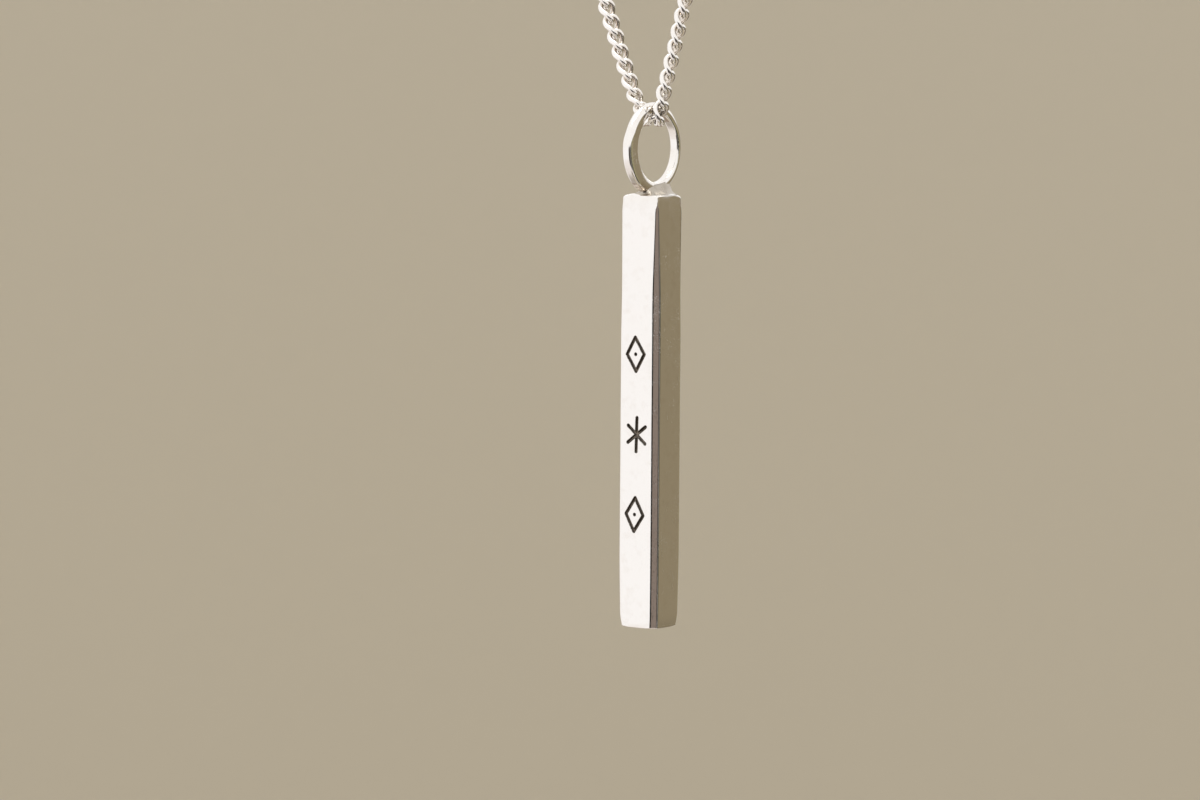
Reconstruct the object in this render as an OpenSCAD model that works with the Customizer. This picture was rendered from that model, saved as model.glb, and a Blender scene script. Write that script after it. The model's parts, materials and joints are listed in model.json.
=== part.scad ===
// A square silver bar pendant with a soldered ring, on a closed loop of curb chain.
// Millimetres. The stamped face looks along -Y, the loop lies in the XZ plane and +Z is up.
// The origin is the point at the back of the neck from which the loop hangs.

/* [Bar] */
// Side of the square bar, flat to flat
bar_side = 4.0; // [3.4:0.1:5]
// Length of the bar, from the top of its dome to its foot
bar_length = 37; // [32:0.5:44]
// Width of the bevel along each long edge, measured on the flat face
bevel = 0.43; // [0.2:0.01:0.7]
// How much each flat narrows at the bar's two ends
end_taper = 0.2; // [0.08:0.02:0.3]
// Length over which each end narrows
end_taper_length = 3; // [2:0.25:4]
// Radius of the low dome on the top end
top_dome = 7.5; // [5:0.25:10]
// Radius of the nearly flat dome on the foot
foot_dome = 12; // [8:0.5:16]

/* [Stamped marks] */
// Height of each stamped mark
mark_height = 3.2; // [2.6:0.05:3.6]
// Width of each stamped mark
mark_width = 2.1; // [1.6:0.05:2.3]
// Width of the grooves
mark_stroke = 0.3; // [0.2:0.02:0.36]
// Depth of the grooves
mark_depth = 0.2; // [0.12:0.01:0.28]
// Distance from one mark's middle to the next
mark_pitch = 6.8; // [5:0.1:8]
// Height of the middle mark above the foot of the bar
mark_middle = 16.6; // [13:0.2:20]

/* [Ring] */
// Diameter of the ring's hole
ring_hole = 5.75; // [5:0.05:7]
// Thickness of the ring, from its hole to its outside
ring_wall = 1.0; // [0.8:0.01:1.2]
// Width of the ring along its own axis
ring_width = 0.88; // [0.7:0.01:1.1]
// Radius of the ring's rounded edges
ring_edge = 0.28; // [0.15:0.01:0.34]
// Depth that the ring sits into the bar's dome
ring_sink = 0.16; // [0.1:0.01:0.3]
// Diameter of the solder round the ring's seat
solder_width = 2.2; // [1.8:0.1:2.8]

/* [Chain] */
// Length of the whole closed loop, its clasp included
loop_length = 450; // [400:5:500]
// Distance from one link's middle to the next
link_pitch = 1.33; // [1.3:0.01:1.4]
// Width of a link
link_width = 1.47; // [1.4:0.01:1.6]
// Thickness of a link's wire, a little slim so that the links stay clear of each other
link_wire = 0.34; // [0.28:0.01:0.36]
// Room between two links that pull on each other
link_slack = 0.2; // [0.14:0.01:0.24]
// Links on each side of the one that the ring hangs on, up to where the plain tube starts
front_links = 12; // [8:1:14]

/* [Hang] */
// Angle between the two strands above the ring
strand_angle = 35.4; // [30:0.2:44]
// Angle by which the pair of strands leans towards the left
strand_lean = 3.2; // [0:0.2:5]
// Room between the ring and the link that it hangs on
hang_gap = 0.07; // [0.06:0.01:0.15]
// Room between the ring's right side and the links that rise past it
side_gap = 0.08; // [0.08:0.01:0.24]
// Slope of the first link on the left, which leaves the ring more room there
left_climb = 54; // [46:1:62]

/* [Clasp] */
// Outer diameter of the ring clasp
clasp_width = 5.5; // [5:0.1:7]
// Thickness of the clasp's tube
clasp_wire = 1.0; // [0.8:0.02:1.1]
// Outer diameter of the small eye on the clasp
eye_width = 2.0; // [1.9:0.05:2.4]
// Thickness of the eye's wire
eye_wire = 0.5; // [0.4:0.02:0.54]
// Outer diameter of the two rings on the ends of the chain
end_ring_width = 3.0; // [2.9:0.05:3.6]
// Thickness of the wire of those rings
end_ring_wire = 0.6; // [0.5:0.02:0.64]

/* [Hidden] */

SILVER = "silver";
ROUND = 96;          // sides of round shapes
LINK_STEPS = 12;     // corners along a link's loop
LINK_SIDES = 6;      // corners round a link's wire
TUBE_STEPS = 40;     // sections along each plain tube
TUBE_SIDES = 8;      // corners round a plain tube
LEFT = -1;
RIGHT = 1;
CLEAR = 0.12;        // room between solids that must not touch
OVERRUN = 1;         // how far a cutting or trimming shape runs past what it trims

// One curb link: an oval whose two ends are twisted against each other.
link_twist = 56;     // turn of each end about the link's own length
twist_power = 0.7;   // how early along the link the twist sets in
end_power = 0.65;    // squareness of the oval's ends
side_power = 0.75;   // squareness of the oval's sides
link_half = (link_pitch + link_wire + link_slack) / 2;
link_side = (link_width - link_wire) / 2;

function unit(v) = v / norm(v);
function signed_power(v, n) = sign(v) * pow(abs(v), n);
function link_point(t) =
    let (turn = -link_twist * signed_power(cos(t), twist_power),
         wide = link_side * signed_power(sin(t), side_power))
    [link_half * signed_power(cos(t), end_power), wide * cos(turn), wide * sin(turn)];

link_line = [for (i = [0 : LINK_STEPS - 1]) link_point(360 * i / LINK_STEPS)];
link_thick = max([for (p = link_line) abs(p.z)]) + link_wire / 2;    // half of a link's thickness
link_reach = link_half + link_wire / 2;                              // half of a link's length

// The link under the ring lies level. The next links on each side climb past the ring.
// Each row is one link out from the level one.
CLIMB_BLEND = 0;     // column: share of the way from the slope of the first climb to the strand's
CLIMB_LEAN = 1;      // columns: turn of the link on the left and on the right from that slope, degrees
CLIMB_ROLL = 3;      // column: turn of the link about its own length, degrees
CLIMB_SHIFT = 4;     // column: sideways shift along Y, as a share of the wire
CLIMB = [
    [0.0, 0, 0, 5, 0.58],
    [1.0, -8, 5.5, 3, 0.44],
    [1.0, 0, 0, 0, 0.29],
    [1.0, 0, 0, 0, 0.15],
];
climb_links = 2;     // links that are bent, before the strand runs straight

// Ring and hinge heights, measured from the middle of the level link
swing_drop = link_thick;
ring_inner = max(link_thick, norm([link_side, swing_drop]) + link_wire / 2 - swing_drop) + hang_gap;
ring_middle = ring_inner - ring_hole / 2;
climb_height = ring_inner + ring_wall / 2;
climb_run = ring_width / 2 + link_thick + side_gap - link_pitch / 2;
function first_slope(side) = side == LEFT ? left_climb : atan2(climb_height, climb_run);

// The loop: a circle round the neck and two straight strands that touch it and meet below.
half_angle = strand_angle / 2;
function steep(side) = half_angle - side * strand_lean;
function strand_slope(side) = 90 - steep(side);
function strand_way(side) = [side * sin(steep(side)), cos(steep(side))];
function link_slope(side, k) =
    let (climb = k <= len(CLIMB) ? CLIMB[k - 1] : [1, 0, 0],
         lean = climb[CLIMB_LEAN + (side == LEFT ? 0 : 1)])
    first_slope(side) + climb[CLIMB_BLEND] * (strand_slope(side) - first_slope(side)) + lean;
// Joint k on one side, counted from the middle of the level link
function joint(side, k) =
    k == 0 ? [side * link_pitch / 2, 0]
           : joint(side, k - 1) + link_pitch * [side * cos(link_slope(side, k)), sin(link_slope(side, k))];

function turn_of(a, b) = a.x * b.y - a.y * b.x;
straight_from = joint(RIGHT, climb_links);
straight_left = joint(LEFT, climb_links);
// Distance down each strand from its first straight joint to where the two strands' lines cross
cross_right = turn_of(straight_from - straight_left, strand_way(LEFT))
            / turn_of(strand_way(RIGHT), strand_way(LEFT));
strands_cross = straight_from - cross_right * strand_way(RIGHT);
function cross_way(side) = norm(joint(side, climb_links) - strands_cross);
bent_length = link_pitch * (climb_links + 0.5);

// Radius of the neck circle, so that the whole loop has its length
loop_turn = 180 + strand_angle;
loop_radius = (loop_length + cross_way(LEFT) + cross_way(RIGHT) - 2 * bent_length)
            / (loop_turn * PI / 180 + 2 / tan(half_angle));

// The clasp lies on the neck at the top of the loop, with one end ring on each side.
clasp_mid = (clasp_width - clasp_wire) / 2;
clasp_height = clasp_wire / 2;
eye_mid = (eye_width - eye_wire) / 2;
eye_weld = 0.25;     // how far the eye is soldered into the clasp
eye_place = clasp_mid + clasp_wire / 2 + eye_width / 2 - eye_weld;
end_ring_mid = (end_ring_width - end_ring_wire) / 2;
end_ring_hole = end_ring_width / 2 - end_ring_wire;
left_place = eye_place + eye_mid + end_ring_hole - eye_wire / 2 - CLEAR;
right_place = clasp_mid + end_ring_hole - clasp_wire / 2 - CLEAR;
tube_start = link_pitch * (front_links + 0.5) + link_reach - link_pitch / 2 + CLEAR;

ends_apart = (left_place + right_place) / 2 + end_ring_mid;
circle_height = clasp_height - sqrt(pow(loop_radius, 2) - pow(ends_apart, 2));
cross_point = [0, circle_height]
            + loop_radius / sin(half_angle) * [sin(strand_lean), -cos(strand_lean)];
level_link = cross_point - strands_cross;
hinge = [level_link.x, 0, level_link.y - swing_drop];

// Where the chain runs, in X and Z, at a length along it from the level link's middle
function tangent_length(side) = bent_length + loop_radius / tan(half_angle) - cross_way(side);
function arc_angle(side, s) = (s - tangent_length(side)) * 180 / PI / loop_radius - steep(side);
function run_point(side, s) =
    s < tangent_length(side)
    ? level_link + joint(side, climb_links) + (s - bent_length) * strand_way(side)
    : [0, circle_height] + loop_radius * [side * cos(arc_angle(side, s)), sin(arc_angle(side, s))];
function run_way(side, s) =
    s < tangent_length(side)
    ? strand_way(side)
    : [-side * sin(arc_angle(side, s)), cos(arc_angle(side, s))];
function end_place(side) = (side == LEFT ? left_place : right_place) + end_ring_width / 2 + CLEAR;
function tube_end(side) =
    tangent_length(side) + loop_radius * PI / 180
    * (90 + steep(side) - asin((end_place(side) + link_thick * end_place(side) / loop_radius) / loop_radius));

// The bar hangs from the ring's foot.
bar_top = hinge.z + swing_drop + ring_middle - ring_hole / 2 - ring_wall + ring_sink;
bar_foot = bar_top - bar_length;
marks_at = bar_foot + mark_middle;
taper_radius = (pow(end_taper_length, 2) + pow(end_taper, 2)) / (2 * end_taper);

// Outline of the bar seen square on: straight sides whose ends curve in a little
module bar_outline() {
    translate([-bar_side / 2, bar_foot + end_taper_length])
        square([bar_side, bar_length - 2 * end_taper_length]);
    for (end = [bar_foot + end_taper_length, bar_top - end_taper_length])
        intersection() {
            translate([bar_side / 2 - taper_radius, end]) circle(taper_radius, $fn = 4 * ROUND);
            translate([taper_radius - bar_side / 2, end]) circle(taper_radius, $fn = 4 * ROUND);
            translate([-bar_side / 2, end - end_taper_length])
                square([bar_side, 2 * end_taper_length]);
        }
}

// Cross-section of the bar: a square with its corners cut off
module bar_section() {
    half = bar_side / 2;
    flat = half - bevel;
    polygon([[half, flat], [flat, half], [-flat, half], [-half, flat],
             [-half, -flat], [-flat, -half], [flat, -half], [half, -flat]]);
}

// A round-nosed rod that trims one end of the bar to a dome: nose at `tip`, rod along `way`
module dome_trim(tip, radius, way) {
    translate([0, 0, tip - way * radius]) {
        sphere(radius, $fn = ROUND);
        mirror([0, 0, way > 0 ? 1 : 0]) cylinder(h = bar_length + OVERRUN, r = radius, $fn = ROUND);
    }
}

// The bar before it is stamped
module bar_blank() {
    intersection() {
        rotate([90, 0, 0]) linear_extrude(bar_side, center = true) bar_outline();
        rotate([90, 0, 90]) linear_extrude(bar_side, center = true) bar_outline();
        translate([0, 0, bar_foot]) linear_extrude(bar_length) bar_section();
        dome_trim(bar_top, top_dome, 1);
        dome_trim(bar_foot, foot_dome, -1);
    }
}

// One groove of a mark, from one point of the front face to another, with round ends
module groove(from, to) {
    radius = mark_stroke / 2;
    run = to - from;
    translate([from.x, -bar_side / 2 + mark_depth - radius, from.y])
        rotate([0, atan2(run.x, run.y), 0]) {
            cylinder(h = norm(run), r = radius, $fn = ROUND / 2);
            sphere(radius, $fn = ROUND / 2);
            translate([0, 0, norm(run)]) sphere(radius, $fn = ROUND / 2);
        }
}

// A lozenge with a dot in its middle
module lozenge_mark() {
    tall = (mark_height - mark_stroke) / 2;
    wide = (mark_width - mark_stroke) / 2;
    corners = [[0, tall], [wide, 0], [0, -tall], [-wide, 0]];
    for (i = [0 : 3]) groove(corners[i], corners[(i + 1) % 4]);
    translate([0, -bar_side / 2 + mark_depth - mark_stroke / 2, 0])
        sphere(mark_stroke * 0.6, $fn = ROUND / 2);
}

// A star of three crossing strokes, one of them upright
module star_mark() {
    tall = (mark_height - mark_stroke) / 2;
    wide = (mark_width - mark_stroke) / 2;
    for (end = [[0, tall], [wide, tall / 2], [wide, -tall / 2]]) groove(-end, end);
}

module marks() {
    translate([0, 0, marks_at]) {
        star_mark();
        for (side = [-1, 1]) translate([0, 0, side * mark_pitch]) lozenge_mark();
    }
}

// The ring's square section with rounded edges, at its distance from the ring's axis
module ring_section() {
    translate([ring_hole / 2, -ring_width / 2]) {
        translate([ring_edge, 0]) square([ring_wall - 2 * ring_edge, ring_width]);
        translate([0, ring_edge]) square([ring_wall, ring_width - 2 * ring_edge]);
        for (x = [ring_edge, ring_wall - ring_edge], y = [ring_edge, ring_width - ring_edge])
            translate([x, y]) circle(ring_edge, $fn = ROUND / 2);
    }
}

// The ring, its axis along X, so that the chain runs through it from side to side
module ring() {
    translate([0, 0, hinge.z + swing_drop + ring_middle])
        rotate([0, 90, 0]) rotate_extrude($fn = ROUND) ring_section();
}

// The solder that climbs from the dome to the ring's foot
module solder_foot() {
    low = sqrt(pow(top_dome, 2) - pow(solder_width / 2, 2)) - top_dome;
    translate([0, 0, bar_top + low - ring_sink / 2])
        cylinder(h = ring_sink * 1.5 - low, r1 = solder_width / 2, r2 = ring_width / 2, $fn = ROUND);
}

module bar_pendant() {
    color(SILVER) translate([hinge.x, 0, 0]) {
        difference() {
            bar_blank();
            marks();
        }
        ring();
        solder_foot();
    }
}

// Corners of a closed wire of LINK_SIDES corners round the link's own line
function link_corner(i, j) =
    let (here = link_line[i],
         ahead = unit(link_line[(i + 1) % LINK_STEPS] - link_line[(i + LINK_STEPS - 1) % LINK_STEPS]),
         out = unit(here - (here * ahead) * ahead),
         up = cross(ahead, out),
         a = 360 * j / LINK_SIDES)
    here + link_wire / 2 * (cos(a) * out + sin(a) * up);

link_corners = [for (i = [0 : LINK_STEPS - 1], j = [0 : LINK_SIDES - 1]) link_corner(i, j)];
link_faces = [for (i = [0 : LINK_STEPS - 1], j = [0 : LINK_SIDES - 1])
    let (here = i * LINK_SIDES, next = (i + 1) % LINK_STEPS * LINK_SIDES, beside = (j + 1) % LINK_SIDES)
    for (face = [[here + j, next + j, next + beside], [here + j, next + beside, here + beside]]) face];

module link() {
    polyhedron(link_corners, link_faces);
}

// Link k on one side: between joints k-1 and k, its flat facing across the loop
module climbing_link(side, k) {
    low = joint(side, k - 1);
    high = joint(side, k);
    roll = k <= len(CLIMB) ? CLIMB[k - 1][CLIMB_ROLL] : 0;
    shift = k <= len(CLIMB) ? CLIMB[k - 1][CLIMB_SHIFT] * link_wire : 0;
    middle = (low + high) / 2;
    slope = link_slope(side, k);
    translate([middle.x, -side * shift, middle.y])
        rotate([0, 0, side > 0 ? 0 : 180]) rotate([0, -slope, 0]) rotate([roll, 0, 0]) link();
}

module chain_front() {
    color(SILVER) translate([level_link.x, 0, level_link.y]) {
        link();
        for (side = [LEFT, RIGHT], k = [1 : front_links]) climbing_link(side, k);
    }
}

// A closed tube of the chain's own width and thickness along one side's route
module chain_tube(side) {
    stop = tube_end(side);
    corners = [for (i = [0 : TUBE_STEPS - 1])
        let (s = tube_start + (stop - tube_start) * i / (TUBE_STEPS - 1),
             at = run_point(side, s), way = run_way(side, s))
        for (j = [0 : TUBE_SIDES - 1])
        let (a = 360 * (j + 0.5) / TUBE_SIDES, off = link_thick * cos(a))
        [at.x + off * way.y, link_width / 2 * sin(a), at.y - off * way.x]];
    walls = [for (i = [0 : TUBE_STEPS - 2], j = [0 : TUBE_SIDES - 1])
        let (here = i * TUBE_SIDES, next = here + TUBE_SIDES, beside = (j + 1) % TUBE_SIDES)
        [here + j, next + j, next + beside, here + beside]];
    last = (TUBE_STEPS - 1) * TUBE_SIDES;
    caps = [[for (j = [0 : TUBE_SIDES - 1]) j],
            [for (j = [TUBE_SIDES - 1 : -1 : 0]) last + j]];
    polyhedron(corners, concat(walls, caps));
}

module chain_back() {
    color(SILVER) {
        chain_tube(LEFT);
        chain_tube(RIGHT);
    }
}

// A plain round ring of given middle radius and wire, its axis along Z
module wire_ring(mid, wire) {
    rotate_extrude($fn = ROUND) translate([mid, 0]) circle(wire / 2, $fn = ROUND / 2);
}

module end_ring(side) {
    place = side == LEFT ? left_place : right_place;
    color(SILVER) translate([side * place, 0, clasp_height])
        rotate([90, 0, 0]) wire_ring(end_ring_mid, end_ring_wire);
}

module end_ring_left() {
    end_ring(LEFT);
}

module end_ring_right() {
    end_ring(RIGHT);
}

// The ring clasp, lying flat on the neck, with its eye on the left
module clasp() {
    color(SILVER) translate([0, 0, clasp_height]) {
        wire_ring(clasp_mid, clasp_wire);
        translate([-eye_place, 0, 0]) wire_ring(eye_mid, eye_wire);
    }
}

bar_pendant();
chain_front();
chain_back();
end_ring_left();
end_ring_right();
clasp();
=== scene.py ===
"""A square silver bar pendant with a soldered ring, on a closed loop of fine curb chain.

Shapes are worked out in millimetres, as whole arrays, and put into meshes in metres. The stamped
face looks along -Y, the loop lies in the XZ plane, +Z is up, and the origin is the point at the
back of the neck from which the loop hangs.
"""

from __future__ import annotations

import json
import logging
import math
from dataclasses import dataclass, field
from enum import Enum, IntEnum
from typing import Callable

import bpy
import numpy as np
from mathutils import Matrix, Vector


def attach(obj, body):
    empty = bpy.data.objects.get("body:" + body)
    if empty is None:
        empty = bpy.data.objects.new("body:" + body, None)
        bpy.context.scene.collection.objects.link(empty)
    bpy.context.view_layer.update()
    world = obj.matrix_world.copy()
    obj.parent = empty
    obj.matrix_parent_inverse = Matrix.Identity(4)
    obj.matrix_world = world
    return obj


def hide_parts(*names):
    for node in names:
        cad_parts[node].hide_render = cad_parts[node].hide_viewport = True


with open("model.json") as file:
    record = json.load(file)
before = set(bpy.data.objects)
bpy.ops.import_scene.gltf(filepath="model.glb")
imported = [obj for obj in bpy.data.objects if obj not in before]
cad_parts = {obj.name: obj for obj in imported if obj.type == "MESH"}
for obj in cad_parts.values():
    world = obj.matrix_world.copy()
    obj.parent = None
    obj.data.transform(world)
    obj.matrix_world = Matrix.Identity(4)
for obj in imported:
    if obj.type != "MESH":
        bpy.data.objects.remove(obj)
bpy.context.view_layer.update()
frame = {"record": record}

MM = 0.001
EIGHTH_TURN = math.pi / 4.0
FULL_CIRCLE = 360.0
FINE_STEPS = 2000
TINY = 1e-9
SMOOTH, PLAIN_DETAIL, FINE_DETAIL = 1.0, 2.0, 3.0
log = logging.getLogger("bar_pendant")

Pair = tuple[float, float]
Triple = tuple[float, float, float]


class Side(Enum):
    """The two strands of the chain, as the sign of the way that each climbs along X."""

    LEFT = -1
    RIGHT = 1


class Motif(Enum):
    """The generic motifs that are stamped into the front face."""

    STAR = "star"
    LOZENGE = "lozenge"


class Body(Enum):
    """The two bodies of the frame."""

    NECKLACE = "necklace"
    PENDANT = "pendant"


def signed_power(values: np.ndarray, power: float) -> np.ndarray:
    """Raises the size of each value to a power and keeps its sign.

    Args:
        values: Sines or cosines.
        power: Below 1 squares a circle off, above 1 pinches it.

    Returns:
        sign(v) times |v| to the power.
    """
    return np.sign(values) * np.abs(values) ** power


def smooth_step(values: np.ndarray, start: float, end: float) -> np.ndarray:
    """Rises from 0 at start to 1 at end along the cubic 3t^2 - 2t^3.

    Args:
        values: Where the step is read.
        start: Value at which the step leaves 0.
        end: Value at which it reaches 1. It may be below start.

    Returns:
        The step's height, from 0 to 1.
    """
    t = np.clip((values - start) / (end - start), 0.0, 1.0)
    return t * t * (3.0 - 2.0 * t)


def even_turn(curve: Callable[[np.ndarray], np.ndarray], count: int) -> np.ndarray:
    """Spreads points evenly along a closed curve.

    The running length of a fine sampling is read back at equal steps.

    Args:
        curve: Gives a point for each share of the turn, from 0 to 1.
        count: How many points the turn gets.

    Returns:
        The points, one row each.
    """
    fine = np.linspace(0.0, 1.0, FINE_STEPS + 1)
    steps = np.linalg.norm(np.diff(curve(fine), axis=0), axis=1)
    run = np.concatenate([[0.0], np.cumsum(steps)])
    return curve(np.interp(np.arange(count) / count * run[-1], run, fine))


@dataclass(frozen=True)
class Ripple:
    """Smooth unevenness of a surface: its size, the middle length of its waves and its seed."""

    size: float
    wavelength: float
    seed: int
    waves: int = 9
    spread: Pair = (0.6, 1.6)

    def at(self, points: np.ndarray) -> np.ndarray:
        """Works out the unevenness: twice the mean of sine waves that run in random directions.

        Args:
            points: Places in millimetres, with X, Y and Z last.

        Returns:
            The height at each place, mostly between minus and plus the size.
        """
        rng = np.random.default_rng(self.seed)
        ways = rng.normal(size=(self.waves, 3))
        ways /= np.linalg.norm(ways, axis=1, keepdims=True)
        ways *= 2.0 * np.pi / (self.wavelength * rng.uniform(*self.spread, size=(self.waves, 1)))
        phases = rng.uniform(0.0, 2.0 * np.pi, self.waves)
        return self.size * 2.0 * np.sin(points @ ways.T + phases).mean(axis=-1)


@dataclass
class Skin:
    """Grids of points that are joined into one mesh of closed surfaces."""

    points: list[np.ndarray] = field(default_factory=list)
    quads: list[np.ndarray] = field(default_factory=list)
    triangles: list[np.ndarray] = field(default_factory=list)
    paints: dict[str, list[np.ndarray]] = field(default_factory=dict)
    count: int = 0

    def add(self, grids: np.ndarray, poles: np.ndarray | None = None, **paints: np.ndarray) -> None:
        """Adds equal closed surfaces, each a grid of rows that turn round it.

        Corner (row, column) joins the next row and the next column. With no poles the last row
        joins the first, as on a ring. With poles a fan closes each end. Faces are turned round
        where the first surface's volume, the sum of corner dot (corner x corner) / 6, is below 0.

        Args:
            grids: Points of shape (copies, rows, columns, 3), in millimetres.
            poles: End points of shape (copies, 2, 3), for the first and the last row.
            paints: Values of shape (copies, rows, columns) for the named point attributes.
        """
        copies, rows, columns, _ = grids.shape
        here = np.arange(rows * columns).reshape(rows, columns)
        below = np.roll(here, -1, axis=0)
        if poles is not None:
            here, below = here[:-1], below[:-1]
        beside, across = np.roll(here, -1, axis=1), np.roll(below, -1, axis=1)
        quads = np.stack([here, beside, across, below], axis=-1).reshape(-1, 4)
        corners = grids.reshape(copies, -1, 3)
        triangles = np.zeros((0, 3), dtype=int)
        if poles is not None:
            first, last = here[0], here[-1] + columns
            top = np.full(columns, rows * columns)
            triangles = np.concatenate([
                np.stack([top, np.roll(first, -1), first], axis=-1),
                np.stack([top + 1, last, np.roll(last, -1)], axis=-1),
            ])
            corners = np.concatenate([corners, poles], axis=1)
        fans = np.concatenate([quads[:, [0, 1, 2]], quads[:, [0, 2, 3]], triangles])
        a, b, c = (corners[0][fans[:, i]] for i in range(3))
        if np.einsum("ij,ij->", a, np.cross(b, c)) < 0.0:
            quads, triangles = quads[:, ::-1], triangles[:, ::-1]
        size = corners.shape[1]
        starts = self.count + np.arange(copies)[:, None, None] * size
        self.quads.append((quads[None] + starts).reshape(-1, 4))
        self.triangles.append((triangles[None] + starts).reshape(-1, 3))
        self.points.append(corners.reshape(-1, 3))
        for name in sorted(set(self.paints) | set(paints)):
            values = np.broadcast_to(paints.get(name, np.zeros(1)), (copies, rows, columns))
            values = values.reshape(copies, -1)
            if poles is not None:
                ends = [values[:, :columns].mean(axis=1), values[:, -columns:].mean(axis=1)]
                values = np.concatenate([values, np.stack(ends, axis=1)], axis=1)
            self.paints.setdefault(name, [np.zeros(self.count)]).append(values.ravel())
        self.count += copies * size

    def piece(self, name: str) -> bpy.types.Object:
        """Makes the smooth mesh object, in metres.

        Args:
            name: The object's name.

        Returns:
            The new object, at the origin.
        """
        quads, triangles = np.concatenate(self.quads), np.concatenate(self.triangles)
        loops = np.concatenate([quads.ravel(), triangles.ravel()]).astype(np.int32)
        starts = np.concatenate([
            np.arange(len(quads)) * 4,
            len(quads) * 4 + np.arange(len(triangles)) * 3,
        ]).astype(np.int32)
        mesh = bpy.data.meshes.new(name)
        mesh.vertices.add(self.count)
        mesh.vertices.foreach_set("co", (np.concatenate(self.points) * MM).astype(np.float32).ravel())
        mesh.loops.add(len(loops))
        mesh.loops.foreach_set("vertex_index", loops)
        mesh.polygons.add(len(starts))
        mesh.polygons.foreach_set("loop_start", starts)
        mesh.polygons.foreach_set("use_smooth", np.ones(len(starts), dtype=bool))
        mesh.update(calc_edges=True)
        mesh.validate()
        for paint, values in self.paints.items():
            layer = mesh.attributes.new(paint, "FLOAT", "POINT")
            layer.data.foreach_set("value", np.concatenate(values).astype(np.float32))
        made = bpy.data.objects.new(name, mesh)
        bpy.context.collection.objects.link(made)
        return made


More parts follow.
